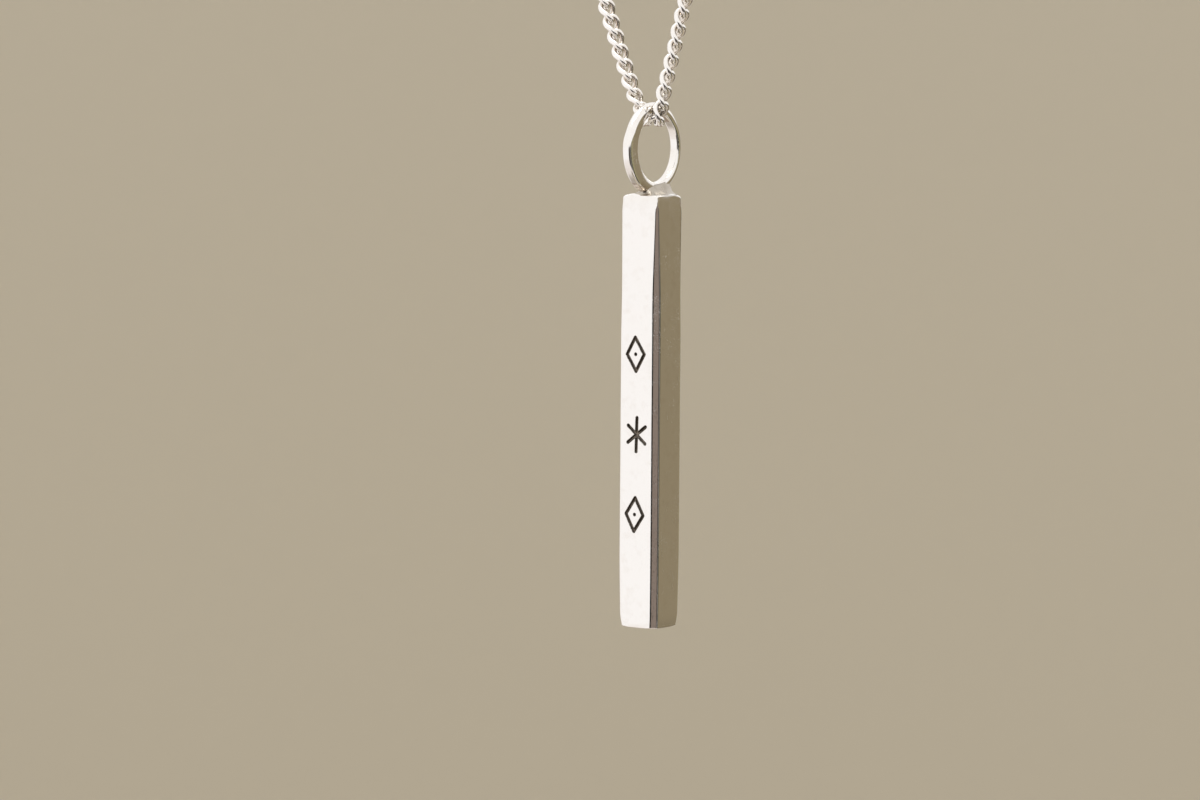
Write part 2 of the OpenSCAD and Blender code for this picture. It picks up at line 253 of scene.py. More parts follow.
class NodeSheet:
    """A material's node tree, with short calls to add and join nodes."""

    def __init__(self, name: str) -> None:
        """Starts an empty material with its output and the piece's own places.

        Args:
            name: The material's name.
        """
        self.material = bpy.data.materials.new(name)
        self.material.use_nodes = True
        self.tree = self.material.node_tree
        self.tree.nodes.clear()
        self.output = self.add("ShaderNodeOutputMaterial")
        self.places = self.add("ShaderNodeTexCoord").outputs["Object"]

    def feed(self, socket: bpy.types.NodeSocket, source: object) -> None:
        """Joins an output to an input socket, or writes a plain value into it.

        Args:
            socket: The input socket.
            source: An output socket or a plain value.
        """
        if isinstance(source, bpy.types.NodeSocket):
            self.tree.links.new(source, socket)
        else:
            socket.default_value = source

    def add(self, kind: str, **inputs: object) -> bpy.types.Node:
        """Adds a node. A keyword names an input socket, with _ for a space, and its value or source.

        Args:
            kind: The node's type.
            inputs: Values or output sockets for the named inputs.

        Returns:
            The node.
        """
        node = self.tree.nodes.new(kind)
        for key, source in inputs.items():
            self.feed(node.inputs[key.replace("_", " ")], source)
        return node

    def surface(self, shader: bpy.types.Node) -> bpy.types.Material:
        """Gives the shader to the output and returns the finished material."""
        self.feed(self.output.inputs["Surface"], shader.outputs[0])
        return self.material

    def maths(self, operation: str, *values: object) -> bpy.types.NodeSocket:
        """Joins values or sockets by one operation of the Math node and returns its result.

        Args:
            operation: The operation's name.
            values: Values or output sockets.

        Returns:
            The result's socket.
        """
        node = self.add("ShaderNodeMath")
        node.operation = operation
        for socket, value in zip(node.inputs, values):
            self.feed(socket, value)
        return node.outputs[0]

    def product(self, first: object, second: object) -> bpy.types.NodeSocket:
        """Multiplies two values or sockets."""
        return self.maths("MULTIPLY", first, second)

    def total(self, first: object, second: object) -> bpy.types.NodeSocket:
        """Adds two values or sockets."""
        return self.maths("ADD", first, second)

    def rest(self, share: bpy.types.NodeSocket) -> bpy.types.NodeSocket:
        """Gives what a share leaves of 1."""
        return self.maths("SUBTRACT", 1.0, share)

    def ramp(self, value: bpy.types.NodeSocket, span: Pair, to: Pair = (0.0, 1.0)) -> bpy.types.NodeSocket:
        """Carries a range of values over to another, clamped, and returns the result.

        Args:
            value: The value's socket.
            span: Values that become the ends of the new range.
            to: The new range.

        Returns:
            The result's socket.
        """
        node = self.add("ShaderNodeMapRange", Value=value)
        for socket, limit in zip(node.inputs[1:5], (*span, *to)):
            self.feed(socket, limit)
        return node.outputs["Result"]

    def blend(self, share: bpy.types.NodeSocket, first: object, second: object) -> bpy.types.NodeSocket:
        """Mixes two colours by a share and returns the mixed colour.

        Args:
            share: Share of the second colour.
            first: Colour or socket at share 0.
            second: Colour or socket at share 1.

        Returns:
            The mixed colour's socket.
        """
        node = self.add("ShaderNodeMix")
        node.data_type = "RGBA"
        for number, source in ((0, share), (6, first), (7, second)):
            self.feed(node.inputs[number], source)
        return node.outputs[2]

    def cloud(self, size: float, detail: float = PLAIN_DETAIL, stretch: Triple = (1, 1, 1),
              turn: Triple = (0, 0, 0)) -> bpy.types.NodeSocket:
        """Reads noise on the piece's own places.

        Args:
            size: Size of its spots in millimetres.
            detail: Octaves of finer noise.
            stretch: How many times longer the spots are along X, Y and Z.
            turn: Turn of the stretched axes, in degrees.

        Returns:
            The noise's value socket.
        """
        turned = self.add("ShaderNodeMapping", Vector=self.places)
        turned.vector_type = "TEXTURE"
        turned.inputs["Rotation"].default_value = tuple(math.radians(a) for a in turn)
        turned.inputs["Scale"].default_value = stretch
        pitch = 1.0 / (size * MM)
        noise = self.add("ShaderNodeTexNoise", Vector=turned.outputs[0], Scale=pitch, Detail=detail)
        return noise.outputs["Fac"]

    def paint(self, name: str) -> bpy.types.NodeSocket:
        """Reads one of the mesh's own point attributes as a value."""
        return self.attribute(name).outputs["Fac"]

    def attribute(self, name: str) -> bpy.types.Node:
        """Adds the node that reads one of the mesh's own point attributes.

        Args:
            name: The attribute's name.

        Returns:
            The node.
        """
        node = self.add("ShaderNodeAttribute")
        node.attribute_name = name
        return node

    def bump(self, height: bpy.types.NodeSocket, depth: float,
             under: bpy.types.NodeSocket | None = None) -> bpy.types.NodeSocket:
        """Turns a height from 0 to 1 into a normal, for a depth in millimetres, on top of another.

        Args:
            height: The height's socket.
            depth: Depth of a height of 1, in millimetres.
            under: The normal that it is laid on.

        Returns:
            The normal's socket.
        """
        node = self.add("ShaderNodeBump", Height=height, Distance=depth * MM, Strength=1.0)
        if under is not None:
            self.feed(node.inputs["Normal"], under)
        return node.outputs["Normal"]


@dataclass(frozen=True)
class Silver:
    """Polished solid silver: warm metal with fine scratches, small pits and a little uneven gloss.

    Sizes are in millimetres. A name that ends in _at gives the values of a pattern or a paint
    between which the feature comes in.
    """

    name: str
    colour: Triple = (0.93, 0.905, 0.87)
    # The tarnish colour is also the colour of the painted shade that the paint shade brings in.
    tarnish: Triple = (0.62, 0.52, 0.41)
    tarnish_share: float = 0.12
    tarnish_size: float = 0.8
    tarnish_at: Pair = (0.5, 0.75)
    shade_share: float = 0.55
    gloss: Pair = (0.05, 0.12)
    gloss_size: float = 1.7
    gloss_at: Pair = (0.35, 0.7)
    scratch_sets: tuple[tuple[Triple, float], ...] = (
        ((8, 0, 4), 1.0),
        ((52, 18, 0), 1.3),
        ((-38, -25, 10), 0.9),
    )
    scratch_width: float = 0.035
    scratch_length: float = 28.0
    scratch_depth: float = 0.0025
    scratch_at: Pair = (0.66, 0.74)
    scratch_group: float = 2.3
    scratch_group_at: Pair = (0.48, 0.62)
    scratch_rough: float = 0.22
    pit_pitch: float = 0.9
    pit_depth: float = 0.006
    pit_at: Pair = (0.05, 0.02)
    pit_group: float = 3.1
    pit_group_at: Pair = (0.45, 0.6)
    pit_share: Pair = (0.15, 1.0)
    pit_rough: float = 0.3
    wave_size: float = 2.6
    wave_depth: float = 0.004
    # The dark oxide colour is real oxide in the grooves and painted shade in the chain's knot, the solder's
    # crevice and the ring's foot.
    oxide: Triple = (0.07, 0.058, 0.046)
    oxide_from: Pair = (0.02, 0.2)
    oxide_at: Pair = (0.28, 0.72)
    oxide_edge: float = 0.12
    oxide_edge_at: Pair = (0.3, 0.7)
    oxide_ragged: float = 0.22
    oxide_rough: float = 0.38
    oxide_matt: float = 0.55
    oxide_grain: float = 0.06
    oxide_grain_depth: float = 0.02
    # Painted highlight: the paler colour painted on the floor of a groove.
    floor: Triple = (0.3, 0.25, 0.2)
    highlight_at: Pair = (0.86, 1.0)
    highlight_cloud: float = 0.22
    highlight_cloud_at: Pair = (0.36, 0.62)

    def scratches(self, sheet: NodeSheet) -> bpy.types.NodeSocket:
        """Draws sets of fine straight scratches, each set one way.

        A noise stretched along one axis is cut off high, so only its thin crests stay, and a
        broad noise breaks them into groups. A set's second value changes its width a little, so
        that no two sets repeat each other. The strongest of the sets shows.

        Args:
            sheet: The material's nodes.

        Returns:
            A share from 0, clear, to 1, in a scratch.
        """
        lines = []
        for turn, wider in self.scratch_sets:
            line = sheet.cloud(self.scratch_width * wider, SMOOTH, (1, 1, self.scratch_length), turn)
            group = sheet.ramp(sheet.cloud(self.scratch_group * wider), self.scratch_group_at)
            lines.append(sheet.product(sheet.ramp(line, self.scratch_at), group))
        return sheet.maths("MAXIMUM", sheet.maths("MAXIMUM", lines[0], lines[1]), lines[2])

    def pits(self, sheet: NodeSheet) -> bpy.types.NodeSocket:
        """Draws small round pits, the middles of a cell pattern.

        A broad noise lets only some through, and the paint wear lets more through on the edges.

        Args:
            sheet: The material's nodes.

        Returns:
            A share from 0, clear, to 1, in a pit.
        """
        cells = sheet.add("ShaderNodeTexVoronoi", Vector=sheet.places, Scale=1.0 / (self.pit_pitch * MM))
        near = sheet.ramp(cells.outputs["Distance"], self.pit_at)
        grouped = sheet.product(near, sheet.ramp(sheet.cloud(self.pit_group, SMOOTH), self.pit_group_at))
        return sheet.product(grouped, sheet.ramp(sheet.paint("wear"), (0.0, 1.0), self.pit_share))

    def oxide_and_shade_cover(self, sheet: NodeSheet) -> bpy.types.NodeSocket:
        """Spreads the dark oxide and the painted shade where the paint oxide says, with a ragged edge.

        Args:
            sheet: The material's nodes.

        Returns:
            A share from 0, bare, to 1, covered.
        """
        paint = sheet.paint("oxide")
        ragged = sheet.ramp(sheet.cloud(self.oxide_edge, FINE_DETAIL), self.oxide_edge_at,
                            (-self.oxide_ragged, self.oxide_ragged))
        cover = sheet.ramp(sheet.total(paint, ragged), self.oxide_at)
        return sheet.product(cover, sheet.ramp(paint, self.oxide_from))

    def skin_colour(self, sheet: NodeSheet, oxide: bpy.types.NodeSocket) -> bpy.types.NodeSocket:
        """Mixes the colour: silver, browned by tarnish and by the painted shade of the paint shade, under the
        oxide and painted shade.

        On the floor of a groove, where its paint is strongest, a paler colour is painted as a highlight.

        Args:
            sheet: The material's nodes.
            oxide: The share of the oxide and of the painted shade.

        Returns:
            The colour.
        """
        tarnish = sheet.ramp(sheet.cloud(self.tarnish_size, FINE_DETAIL), self.tarnish_at)
        # Painted shade: the paint shade browns the metal towards the tarnish colour.
        shade = sheet.product(sheet.paint("shade"), self.shade_share)
        brown = sheet.total(sheet.product(tarnish, self.tarnish_share), shade)
        metal = sheet.blend(sheet.ramp(brown, (0.0, 1.0)), (*self.colour, 1), (*self.tarnish, 1))
        # Painted highlight on the floor of a groove, broken into patches.
        rubbed = sheet.ramp(sheet.cloud(self.highlight_cloud, FINE_DETAIL), self.highlight_cloud_at)
        floor = sheet.product(sheet.ramp(sheet.paint("oxide"), self.highlight_at), rubbed)
        return sheet.blend(oxide, metal, sheet.blend(floor, (*self.oxide, 1), (*self.floor, 1)))

    def material(self) -> bpy.types.Material:
        """Builds the finish as one node material.

        Returns:
            The material.
        """
        sheet = NodeSheet(self.name)
        scratch, pit, oxide = self.scratches(sheet), self.pits(sheet), self.oxide_and_shade_cover(sheet)
        dull = sheet.ramp(sheet.cloud(self.gloss_size, FINE_DETAIL), self.gloss_at)
        rough = sheet.ramp(dull, (0.0, 1.0), self.gloss)
        for share, added in ((scratch, self.scratch_rough), (pit, self.pit_rough), (oxide, self.oxide_rough)):
            rough = sheet.total(rough, sheet.product(share, added))
        relief = sheet.bump(sheet.cloud(self.wave_size, SMOOTH), self.wave_depth)
        relief = sheet.bump(sheet.rest(scratch), self.scratch_depth, relief)
        relief = sheet.bump(sheet.rest(pit), self.pit_depth, relief)
        grain = sheet.product(sheet.cloud(self.oxide_grain), oxide)
        relief = sheet.bump(grain, self.oxide_grain_depth, relief)
        metal = sheet.rest(sheet.product(oxide, self.oxide_matt))
        return sheet.surface(sheet.add("ShaderNodeBsdfPrincipled", Base_Color=self.skin_colour(sheet, oxide),
                                       Roughness=rough, Metallic=metal, Normal=relief))


BAR_SILVER = Silver("bar_silver")
CHAIN_SILVER = Silver("chain_silver", colour=(0.96, 0.937, 0.905), gloss=(0.1, 0.18),
                      tarnish_share=0.08, pit_depth=0.003, wave_depth=0.002)
SOLDER_SILVER = Silver("solder_silver", colour=(0.5, 0.455, 0.39), tarnish=(0.33, 0.28, 0.22),
                       gloss=(0.24, 0.4), tarnish_share=0.5, pit_pitch=0.5, pit_depth=0.01)
CLASP_SILVER = Silver("clasp_silver", gloss=(0.06, 0.13), wave_depth=0.003)


@dataclass(frozen=True)
class CurbLink:
    """One curb link: an oval of round wire whose two ends are twisted against each other."""

    pitch: float = 1.33
    width: float = 1.6
    wire: float = 0.46
    slack: float = 0.08
    twist: float = 56.0
    twist_power: float = 0.7
    end_power: float = 0.8
    side_power: float = 0.9

    @property
    def half_length(self) -> float:
        """Distance from the link's middle to the middle of the wire at its end."""
        return (self.pitch + self.wire + self.slack) / 2.0

    @property
    def half_width(self) -> float:
        """Distance from the link's middle to the middle of the wire at its side."""
        return (self.width - self.wire) / 2.0

    def line(self, turn: np.ndarray) -> np.ndarray:
        """Works out the middle line of the wire.

        Along the link it is half length times cos t, squared off by a power. Across it, half
        width times sin t, likewise, is turned about the link's length by minus the twist times
        cos t, so the two ends turn opposite ways.

        Args:
            turn: Shares of the turn, from 0 to 1.

        Returns:
            The points in millimetres, with the link along X.
        """
        t = 2.0 * np.pi * np.asarray(turn)
        lean = -math.radians(self.twist) * signed_power(np.cos(t), self.twist_power)
        wide = self.half_width * signed_power(np.sin(t), self.side_power)
        along = self.half_length * signed_power(np.cos(t), self.end_power)
        return np.stack([along, wide * np.cos(lean), wide * np.sin(lean)], axis=-1)

    def half_thickness(self, corners: int) -> float:
        """Half of the link's thickness, for a line of that many corners in equal shares of the turn."""
        return float(np.abs(self.line(np.arange(corners) / corners)[:, 2]).max() + self.wire / 2.0)

    def surface(self, steps: int, sides: int) -> tuple[np.ndarray, np.ndarray]:
        """Carries a circle along the closed line.

        A corner is the line's point plus the wire's radius times cos a outwards plus sin a across.
        Outwards is the point's own direction from the link's middle, less its part along the line.

        Args:
            steps: Sections along the line.
            sides: Corners of each section.

        Returns:
            The points of shape (steps, sides, 3), and how far each faces the link's hole, 0 to 1.
        """
        middle = even_turn(self.line, steps)
        ahead = np.roll(middle, -1, axis=0) - np.roll(middle, 1, axis=0)
        ahead /= np.linalg.norm(ahead, axis=1, keepdims=True)
        out = middle - (middle * ahead).sum(axis=1, keepdims=True) * ahead
        out /= np.linalg.norm(out, axis=1, keepdims=True)
        across = np.cross(ahead, out)
        a = 2.0 * np.pi * (np.arange(sides) + 0.5) / sides
        ring = np.cos(a)[None, :, None] * out[:, None] + np.sin(a)[None, :, None] * across[:, None]
        inward = np.broadcast_to((1.0 - np.cos(a)) / 2.0, (steps, sides))
        return middle[:, None] + self.wire / 2.0 * ring, inward


@dataclass(frozen=True)
class ChainRoute:
    """The chain's way from the level link under the ring, up both strands and round the neck.

    The first two links on each side climb past the ring, then the strand runs straight until it
    touches the circle round the neck.
    """

    length: float = 450.0
    strand_angle: float = 35.4
    strand_lean: float = 3.2
    ring_hole: float = 5.75
    ring_wall: float = 1.0
    ring_width: float = 0.88
    hang_gap: float = 0.07
    side_gap: float = 0.08
    left_climb: float = 54.0
    bent_links: int = 2
    second_lean: Pair = (-8.0, 5.5)
    climb_shift: tuple[float, ...] = (0.58, 0.44, 0.29, 0.15)
    source_link: CurbLink = CurbLink(width=1.47, wire=0.34, slack=0.2, end_power=0.65, side_power=0.75)
    source_corners: int = 12

    @property
    def drop(self) -> float:
        """How far the hinge lies under the middle of the level link."""
        return self.source_link.half_thickness(self.source_corners)

    @property
    def hinge(self) -> np.ndarray:
        """X and Z of the pendant's hinge, from the frame."""
        place = frame["record"]["behaviour"]["joints"][0]["pos_m"]
        return np.array([place[0], place[2]]) / MM

    @property
    def level(self) -> np.ndarray:
        """X and Z of the middle of the level link."""
        return self.hinge + [0.0, self.drop]

    @property
    def ring_inner(self) -> float:
        """Height of the top of the ring's hole over the middle of the level link.

        Returns:
            The least height at which the ring clears the link, in millimetres.
        """
        link = self.source_link
        reach = math.hypot(link.half_width, self.drop) + link.wire / 2.0 - self.drop
        return max(self.drop, reach) + self.hang_gap

    def first_slope(self, side: Side) -> float:
        """Slope of the first link on one side, in degrees: on the right it just passes the ring.

        Args:
            side: The strand.

        Returns:
            The slope over the horizontal.
        """
        if side is Side.LEFT:
            return self.left_climb
        run = self.ring_width / 2.0 + self.drop + self.side_gap - self.source_link.pitch / 2.0
        return math.degrees(math.atan2(self.ring_inner + self.ring_wall / 2.0, run))

    def steep(self, side: Side) -> float:
        """Angle between a strand and the vertical, in degrees."""
        return self.strand_angle / 2.0 - side.value * self.strand_lean

    def strand_way(self, side: Side) -> np.ndarray:
        """Unit direction up a straight strand, in X and Z."""
        angle = math.radians(self.steep(side))
        return np.array([side.value * math.sin(angle), math.cos(angle)])

    def slopes(self, side: Side, count: int) -> np.ndarray:
        """Slopes of the first links on one side, in degrees, the nearest first.

        Args:
            side: The strand.
            count: How many links are asked for.

        Returns:
            One slope over the horizontal for each link.
        """
        slope = np.full(count, 90.0 - self.steep(side))
        slope[0] = self.first_slope(side)
        slope[1] += self.second_lean[0 if side is Side.LEFT else 1]
        return slope

    def joints(self, side: Side, count: int) -> np.ndarray:
        """Places where the links of one side meet, from the level link on.

        Each joint lies one pitch up its link's slope from the joint before it.

        Args:
            side: The strand.
            count: How many links follow the level one.

        Returns:
            count + 1 points in X and Z, from the middle of the level link.
        """
        pitch = self.source_link.pitch
        slope = np.radians(self.slopes(side, count))
        steps = pitch * np.stack([side.value * np.cos(slope), np.sin(slope)], axis=1)
        start = np.array([[side.value * pitch / 2.0, 0.0]])
        return np.concatenate([start, start + np.cumsum(steps, axis=0)])

    @property
    def strands_cross(self) -> np.ndarray:
        """Where the lines of the two straight strands cross, from the level link.

        Returns:
            The point's X and Z.
        """
        right, left = (self.joints(side, self.bent_links)[-1] for side in (Side.RIGHT, Side.LEFT))
        ways = np.stack([self.strand_way(Side.RIGHT), -self.strand_way(Side.LEFT)], axis=1)
        down = np.linalg.solve(ways, right - left)
        return right - down[0] * self.strand_way(Side.RIGHT)

    def cross_way(self, side: Side) -> float:
        """Distance from where the strands' lines cross up to the end of one side's bend."""
        return float(np.linalg.norm(self.joints(side, self.bent_links)[-1] - self.strands_cross))

    @property
    def bent_length(self) -> float:
        """Length of chain from the middle of the level link to the end of the bend."""
        return self.source_link.pitch * (self.bent_links + 0.5)

    @property
    def radius(self) -> float:
        """Radius of the circle round the neck that gives the loop its length.

        Returns:
            The radius in millimetres.
        """
        half = math.radians(self.strand_angle / 2.0)
        spare = sum(self.cross_way(side) for side in Side) - 2.0 * self.bent_length
        return (self.length + spare) / (math.pi + 2.0 * half + 2.0 / math.tan(half))

    @property
    def centre(self) -> np.ndarray:
        """X and Z of the middle of the circle.

        Returns:
            The middle of the circle that both strands touch.
        """
        half, lean = math.radians(self.strand_angle / 2.0), math.radians(self.strand_lean)
        down = self.radius / math.sin(half) * np.array([math.sin(lean), -math.cos(lean)])
        return self.level + self.strands_cross - down

    def tangent_length(self, side: Side) -> float:
        """Length of chain from the level link to where the strand touches the circle."""
        half = math.radians(self.strand_angle / 2.0)
        return self.bent_length + self.radius / math.tan(half) - self.cross_way(side)

    def along(self, side: Side, run: np.ndarray) -> tuple[np.ndarray, np.ndarray]:
        """Follows one side past its bend.

        Up to the touching point it is a straight line, and from there the circle's arc.

        Args:
            side: The strand.
            run: Lengths along the chain from the middle of the level link.

        Returns:
            Points and unit directions in X and Z, one row for each length.
        """
        touch, way = self.tangent_length(side), self.strand_way(side)
        start = self.level + self.joints(side, self.bent_links)[-1]
        straight = start + (run - self.bent_length)[:, None] * way
        angle = (run - touch) / self.radius - math.radians(self.steep(side))
        arc = np.stack([side.value * np.cos(angle), np.sin(angle)], axis=1)
        round_way = np.stack([-side.value * np.sin(angle), np.cos(angle)], axis=1)
        before = (run < touch)[:, None]
        return (np.where(before, straight, self.centre + self.radius * arc),
                np.where(before, way, round_way))

    def run_to(self, side: Side, away: float) -> float:
        """Length along one side at which the arc is that far in X from the clasp's middle."""
        top = math.pi / 2.0 - math.asin(away / self.radius)
        return self.tangent_length(side) + self.radius * (top + math.radians(self.steep(side)))


@dataclass
class CurbChain:
    """The whole chain: real links all the way, from the level one up to the two end rings."""

    route: ChainRoute = field(default_factory=ChainRoute)
    link: CurbLink = field(default_factory=CurbLink)
    front_links: int = 12
    climb_roll: float = 5.0
    left_roll: float = -6.0
    right_roll: float = 12.0
    roll_links: float = 5.0
    # Painted shade in the knot: dark paint on the inner faces of the level link and of the first links up
    # each side.
    bearing_shade: tuple[float, ...] = (0.8, 0.62, 0.4)
    front_grid: tuple[int, int] = (56, 14)
    back_grid: tuple[int, int] = (12, 5)

    def placed(self, grid: tuple[int, int], middles: np.ndarray, ways: np.ndarray,
               rolls: np.ndarray, sign: np.ndarray) -> tuple[np.ndarray, np.ndarray]:
        """Sets a copy of the link at each place.

        A copy's own X runs along the chain, its Y across the loop and its Z is square to both. It
        is rolled about its X, so y' = y cos r - z sin r and z' = y sin r + z cos r.

        Args:
            grid: Sections along the wire and corners round it.
            middles: Middles of the links, in X, Y and Z.
            ways: Unit directions of the links in X and Z.
            rolls: Roll of each link in degrees.
            sign: 1 on the right and -1 on the left, whose links are turned half round.

        Returns:
            Points of shape (links, steps, sides, 3), and how far each faces its link's hole.
        """
        shape, inward = self.link.surface(*grid)
        flat = np.zeros(len(ways))
        ahead = np.stack([ways[:, 0], flat, ways[:, 1]], axis=1)
        across = np.stack([flat, sign, flat], axis=1)
        up = np.cross(ahead, across)
        roll = np.radians(rolls)[:, None]
        turned = np.cos(roll) * across + np.sin(roll) * up
        raised = np.cos(roll) * up - np.sin(roll) * across
        axes = np.stack([ahead, turned, raised], axis=1)
        points = np.einsum("stc,ncx->nstx", shape, axes) + middles[:, None, None]
        return points, np.broadcast_to(inward, points.shape[:3])

    def roll(self, side: Side, number: np.ndarray) -> np.ndarray:
        """Roll of the links on one side: the climbing ones' own roll fades into the strand's."""
        strand = self.left_roll if side is Side.LEFT else self.right_roll
        return self.climb_roll + (strand - self.climb_roll) * smooth_step(number, 1.0, self.roll_links)

    def front(self) -> bpy.types.Object:
        """Makes the links that the pendant hangs on and the ones just above them.

        Returns:
            One object with all of those links.
        """
        skin = Skin()
        level = self.route.level
        points, inward = self.placed(self.front_grid, np.array([[level[0], 0.0, level[1]]]),
                                     np.array([[1.0, 0.0]]), np.zeros(1), np.ones(1))
        # Painted shade: the paint shade browns each link's inner face, and dark paint shades the inner faces
        # of the level link in the knot.
        skin.add(points, shade=inward, oxide=self.bearing_shade[0] * inward ** 2)
        number = np.arange(1, self.front_links + 1)
        oxide = np.zeros((self.front_links, 1, 1))
        oxide[:len(self.bearing_shade) - 1, 0, 0] = self.bearing_shade[1:]
        for side in Side:
            joints = self.route.joints(side, self.front_links)
            middle = level + (joints[1:] + joints[:-1]) / 2.0
            ways = (joints[1:] - joints[:-1]) / self.link.pitch
            shift = np.zeros(self.front_links)
            shift[:len(self.route.climb_shift)] = self.route.climb_shift
            aside = -side.value * shift * self.route.source_link.wire
            middles = np.stack([middle[:, 0], aside, middle[:, 1]], axis=1)
            sign = np.full(self.front_links, float(side.value))
            points, inward = self.placed(self.front_grid, middles, ways, self.roll(side, number), sign)
            # Painted shade on the inner faces of the climbing links, darker on the first ones under the ring.
            skin.add(points, shade=inward, oxide=oxide * inward ** 2)
        return skin.piece("front_links")

    def back(self, side: Side, last_away: float) -> bpy.types.Object:
        """Makes the rest of one side's links, up to the one that holds the end ring.

        Args:
            side: The strand.
            last_away: Distance in X of the last link's middle from the clasp's middle.

        Returns:
            One object with all of those links.
        """
        first = self.front_links * self.link.pitch
        last = self.route.run_to(side, last_away)
        count = round((last - first) / self.link.pitch)
        run = first + (last - first) * np.arange(1, count + 1) / count
        middle, ways = self.route.along(side, run)
        middles = np.stack([middle[:, 0], np.zeros(count), middle[:, 1]], axis=1)
        rolls = self.roll(side, np.full(count, self.front_links))
        points, inward = self.placed(self.back_grid, middles, ways, rolls, np.full(count, float(side.value)))
        skin = Skin()
        # Painted shade on the inner faces of the links.
        skin.add(points, shade=inward)
        log.info("back links on the %s: %d, pitch %.3f mm", side.name.lower(), count, (last - first) / count)
        return skin.piece(f"back_links_{side.name.lower()}")


@dataclass
class RingClasp:
    """The ring clasp on the nape with its soldered eye, and the rings on the chain's two ends."""

    clasp_width: float = 5.5
    clasp_wire: float = 1.0
    eye_width: float = 2.0
    eye_wire: float = 0.5
    eye_weld: float = 0.25
    end_width: float = 3.0
    end_wire: float = 0.6
    clear: float = 0.12
    clasp_grid: tuple[int, int] = (120, 28)
    eye_grid: tuple[int, int] = (72, 20)
    end_grid: tuple[int, int] = (84, 22)

    @property
    def clasp_mid(self) -> float:
        """Radius of the middle of the clasp's tube."""
        return (self.clasp_width - self.clasp_wire) / 2.0

    @property
    def eye_mid(self) -> float:
        """Radius of the middle of the eye's wire."""
        return (self.eye_width - self.eye_wire) / 2.0

    @property
    def end_mid(self) -> float:
        """Radius of the middle of an end ring's wire."""
        return (self.end_width - self.end_wire) / 2.0

    @property
    def eye_place(self) -> float:
        """Distance of the eye's middle from the clasp's."""
        return self.clasp_mid + self.clasp_wire / 2.0 + self.eye_width / 2.0 - self.eye_weld

    def end_place(self, side: Side) -> float:
        """Distance of an end ring's middle from the clasp's: it hangs in the eye or in the clasp.

        Args:
            side: The end of the chain.

        Returns:
            The distance along X.
        """
        hole = self.end_width / 2.0 - self.end_wire
        if side is Side.LEFT:
            return self.eye_place + self.eye_mid + hole - self.eye_wire / 2.0 - self.clear
        return self.clasp_mid + hole - self.clasp_wire / 2.0 - self.clear

    def last_link(self, side: Side, link: CurbLink) -> float:
        """Distance in X of the link whose end hooks round the end ring's outer wire."""
        return self.end_place(side) + self.end_mid - (self.end_wire + link.wire) / 2.0 + link.half_length

    def wire_ring(self, middle: Triple, mid: float, wire: float,
                  flat: bool, grid: tuple[int, int]) -> np.ndarray:
        """Turns a round section about an axis: a torus.

        A corner lies at the middle radius plus half the wire times cos b from the axis, and half
        the wire times sin b along it.

        Args:
            middle: Middle of the ring.
            mid: Radius of the middle of the wire.
            wire: Thickness of the wire.
            flat: The ring lies flat, its axis along Z, or else stands, its axis along Y.
            grid: Sections round the ring and corners of each.

        Returns:
            The points of shape (1, sections, corners, 3).
        """
        a, b = (2.0 * np.pi * np.arange(n) / n for n in grid)
        reach = mid + wire / 2.0 * np.cos(b)[None, :]
        x, y = reach * np.cos(a)[:, None], reach * np.sin(a)[:, None]
        axis = np.broadcast_to(wire / 2.0 * np.sin(b)[None, :], x.shape)
        points = np.stack([x, y, axis] if flat else [x, axis, y], axis=-1)
        return (points + np.array(middle))[None]

    def clasp(self) -> bpy.types.Object:
        """Makes the clasp and its eye as one soldered piece.

        Returns:
            The piece.
        """
        height = self.clasp_wire / 2.0
        skin = Skin()
        eye = (-self.eye_place, 0.0, height)
        skin.add(self.wire_ring((0.0, 0.0, height), self.clasp_mid, self.clasp_wire, True, self.clasp_grid))
        skin.add(self.wire_ring(eye, self.eye_mid, self.eye_wire, True, self.eye_grid))
        return skin.piece("ring_clasp")

    def end_ring(self, side: Side) -> bpy.types.Object:
        """Makes the ring on one end of the chain.

        Args:
            side: The end of the chain.

        Returns:
            The piece.
        """
        place = (side.value * self.end_place(side), 0.0, self.clasp_wire / 2.0)
        skin = Skin()
        skin.add(self.wire_ring(place, self.end_mid, self.end_wire, False, self.end_grid))
        return skin.piece(f"chain_end_ring_{side.name.lower()}")


